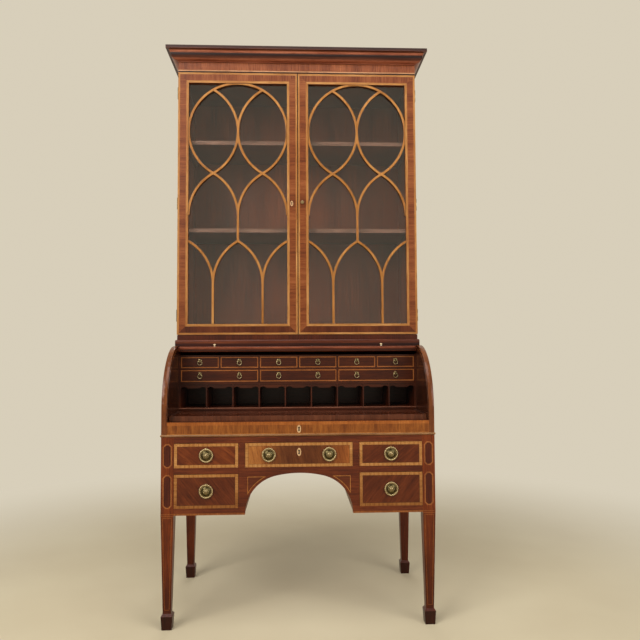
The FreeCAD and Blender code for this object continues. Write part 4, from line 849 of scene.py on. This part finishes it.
# Bookcase carcase: mahogany sides, shelves and plinth with a thin stained back, dovetailed and housed
# together. The plinth is painted darker, as the shade under the doors, and the shelves' front edges are a
# duller, lighter brown.
book_low, book_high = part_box("bookcase_carcase")
plinth_height, rear_skin = 0.018, 0.0005
plinth_top = book_low.z + plinth_height
carcase_wood = polished_wood("french_polished_mahogany_carcase", dark_mahogany, "Z", figure=0.08,
                             beyond=(1, book_high.y - rear_skin, stained_pine),
                             shade=(2, [(plinth_top, "#c4b4ac"), (plinth_top + 0.002, "#ffffff")]))
finish_node("bookcase_carcase", carcase_wood)
door_low, door_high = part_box("left_door_frame")
door_seam, case_side, shelf_gap = 0.0024, 0.018, 0.001
shelf_setback, shelf_thickness, shelf_levels = 0.012, 0.015, (0.405, 0.755)
shelf_front = door_high.y + door_seam + shelf_setback
shelf_half = book_high.x - case_side - shelf_gap
shelf_edge = polished_wood("pale_mahogany_shelf_edge", ("#4f3226", "#614033", "#724f40"), "X", streak=0.003)
patches = []
for level in shelf_levels:
    foot = plinth_top + level
    patches.append((shelf_edge, rectangle(-shelf_half, shelf_half, foot, foot + shelf_thickness), 0))
lay_veneer("shelf_edges", "case", patches, lambda x, z: shelf_front)

# Cornice and frieze: a moulding run along mahogany and mitred at the corners, over a frieze veneered with its
# grain upright. The moulding is painted with light and shade: painted shade in the hollow and on the top
# member, and a painted highlight on the round between them. A pale line over a dark strip, a painted shadow
# of the gap above the doors, closes the frieze at its foot.
frieze_height = 0.038
frieze_low, frieze_high = book_high.z, book_high.z + frieze_height
cornice_light_and_shade = [
    (0.0, "#b8aea8"), (0.004, "#dcd4d0"), (0.007, "#e8e4e2"), (0.012, "#80746c"), (0.020, "#3e302a"),
    (0.0265, "#261a14"), (0.0305, "#ffffff"), (0.034, "#ffffff"), (0.038, "#786c64"), (0.042, "#483a32"),
]
cornice_painted_light = (2, [(frieze_high + rise, tint) for rise, tint in cornice_light_and_shade])
cornice_wood = polished_wood("french_polished_mahogany_cornice", ("#86462d", "#ad6346", "#cd8260"), "X",
                             shade=cornice_painted_light)
finish_node("cornice", cornice_wood, 0)
frieze_half = -door_low.x
gap_shadow_width, frieze_line = 0.0035, 0.0045
line_foot = frieze_low + gap_shadow_width
line_top = line_foot + frieze_line
pale_line = polished_wood("polished_boxwood_frieze_line", ("#9a6a42", "#b28058", "#c4926a"), "X",
                          streak=0.002)
frieze_wood = polished_wood("mahogany_frieze_cross", ("#632f15", "#804221", "#995831"), "Z", streak=0.003)


def door_face(x, z):
    return door_low.y


patches = [
    (ebony_and_shadow_line, rectangle(-frieze_half, frieze_half, frieze_low, line_foot), 0),
    (pale_line, rectangle(-frieze_half, frieze_half, line_foot, line_top), 0),
    (frieze_wood, rectangle(-frieze_half, frieze_half, line_top, frieze_high), 0),
]
lay_veneer("frieze_veneer", "case", patches, door_face)

# Doors: mahogany stiles and rails, tenoned together and veneered across the grain between an outer and an
# inner satinwood band. The lower rails are painted darker as shade, and a dark line, a painted shadow, marks
# where the doors meet.
outer_band, inner_band, frame_width = 0.0074, 0.009, 0.041
cross_band = frame_width - outer_band - inner_band
meeting_shadow = 0.0013
door_wood = polished_wood("french_polished_mahogany_door", mahogany, "Z")
cross_tones = ("#5c2911", "#783d1b", "#8f522b")
lower_rail_painted_shade = (2, [(1.0, "#b09c90"), (1.6, "#ffffff")])
line_level = polished_wood("satinwood_line_level", satinwood, "X", streak=0.002)
line_upright = polished_wood("satinwood_line_upright", satinwood, "Z", streak=0.002)
cross_level = polished_wood("mahogany_cross_level", cross_tones, "Z", streak=0.003, shade=lower_rail_painted_shade)
cross_upright = polished_wood("mahogany_cross_upright", cross_tones, "X", streak=0.003)
door_bands = [
    (outer_band, line_level, line_upright), (cross_band, cross_level, cross_upright),
    (inner_band, line_level, line_upright),
]
for side in ("left", "right"):
    name = f"{side}_door_frame"
    finish_node(name, door_wood)
    low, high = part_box(name)
    x0, x1, z0, z1 = low.x, high.x, low.z, high.z
    patches = []
    inset = 0
    for width, across, up in door_bands:
        level, upright = mitred_band(x0 + inset, x1 - inset, z0 + inset, z1 - inset, width)
        patches += [(across, outline, 0) for outline in level]
        patches += [(up, outline, 0) for outline in upright]
        inset += width
    edge_x = (x1 - meeting_shadow, x1) if side == "left" else (x0, x0 + meeting_shadow)
    # The dark strip at the meeting edge is a painted shadow.
    patches.append((ebony_and_shadow_line, rectangle(*edge_x, z0, z1), overlaid))
    lay_veneer(f"{side}_door_banding", f"{side}_door", patches, door_face)
lock_x, lock_drop, door_bone = -0.0235, 0.003, (0.0055, 0.0105)
lock_z = (door_low.z + door_high.z) / 2 - lock_drop
escutcheon("left_door_escutcheon", "left_door", lock_x, lock_z, *door_bone, door_face)

# Tracery: curved satinwood bars, worked to a rounded moulding, halved together where they cross and glued in
# over the glass. The sides of the moulding are painted darker as shade, and its rounded front is gold.
bar_wood = polished_wood("moulded_satinwood_bar", ("#86531f", "#a36b32", "#b98246"), "Z", streak=0.003,
                         sideways_shade="#6e5f54")
bar_rounding = 0.0022
for side in ("left", "right"):
    finish_node(f"{side}_door_tracery", bar_wood, bar_rounding)

# Glass: panes of old drawn sheet puttied in behind the bars, clear with the faintest grey-green and mirror
# smooth, with slow waves from the drawing. Lamplight falls straight through it on the shelves.
glass, tree = new_material("drawn_sheet_glass")
wave_length = 0.12
place = add(tree, "ShaderNodeTexCoord").outputs["Object"]
wave = add(tree, "ShaderNodeTexNoise", {"Vector": place, "Scale": 1 / wave_length, "Detail": 1.0})
ripple = add(tree, "ShaderNodeBump", {"Height": wave.outputs[0], "Strength": 0.02, "Distance": 0.0005})
shader = add(tree, "ShaderNodeBsdfPrincipled", {
    "Base Color": linear("#f1f6f2"), "Roughness": 0.02, "IOR": 1.5, "Transmission Weight": 1.0,
    "Normal": ripple.outputs[0],
})
clear_way = add(tree, "ShaderNodeBsdfTransparent")
shadow = add(tree, "ShaderNodeLightPath").outputs["Is Shadow Ray"]
pane = add(tree, "ShaderNodeMixShader", {0: shadow, 1: shader.outputs[0], 2: clear_way.outputs[0]})
add(tree, "ShaderNodeOutputMaterial", {"Surface": pane.outputs[0]})
for side in ("left", "right"):
    finish_node(f"{side}_door_glass", glass, 0)

# Brasswork of the case and doors: butt hinges let in and screwed at the doors' outer edges, a lock case and a
# turned knob. Most of it is tarnished, and the right door's, with the knob, is brighter from use.
for name in ("case_brasswork", "left_door_brasswork"):
    finish_node(name, tarnish_and_shade_brass, 0)
finish_node("right_door_brasswork", brass, 0)
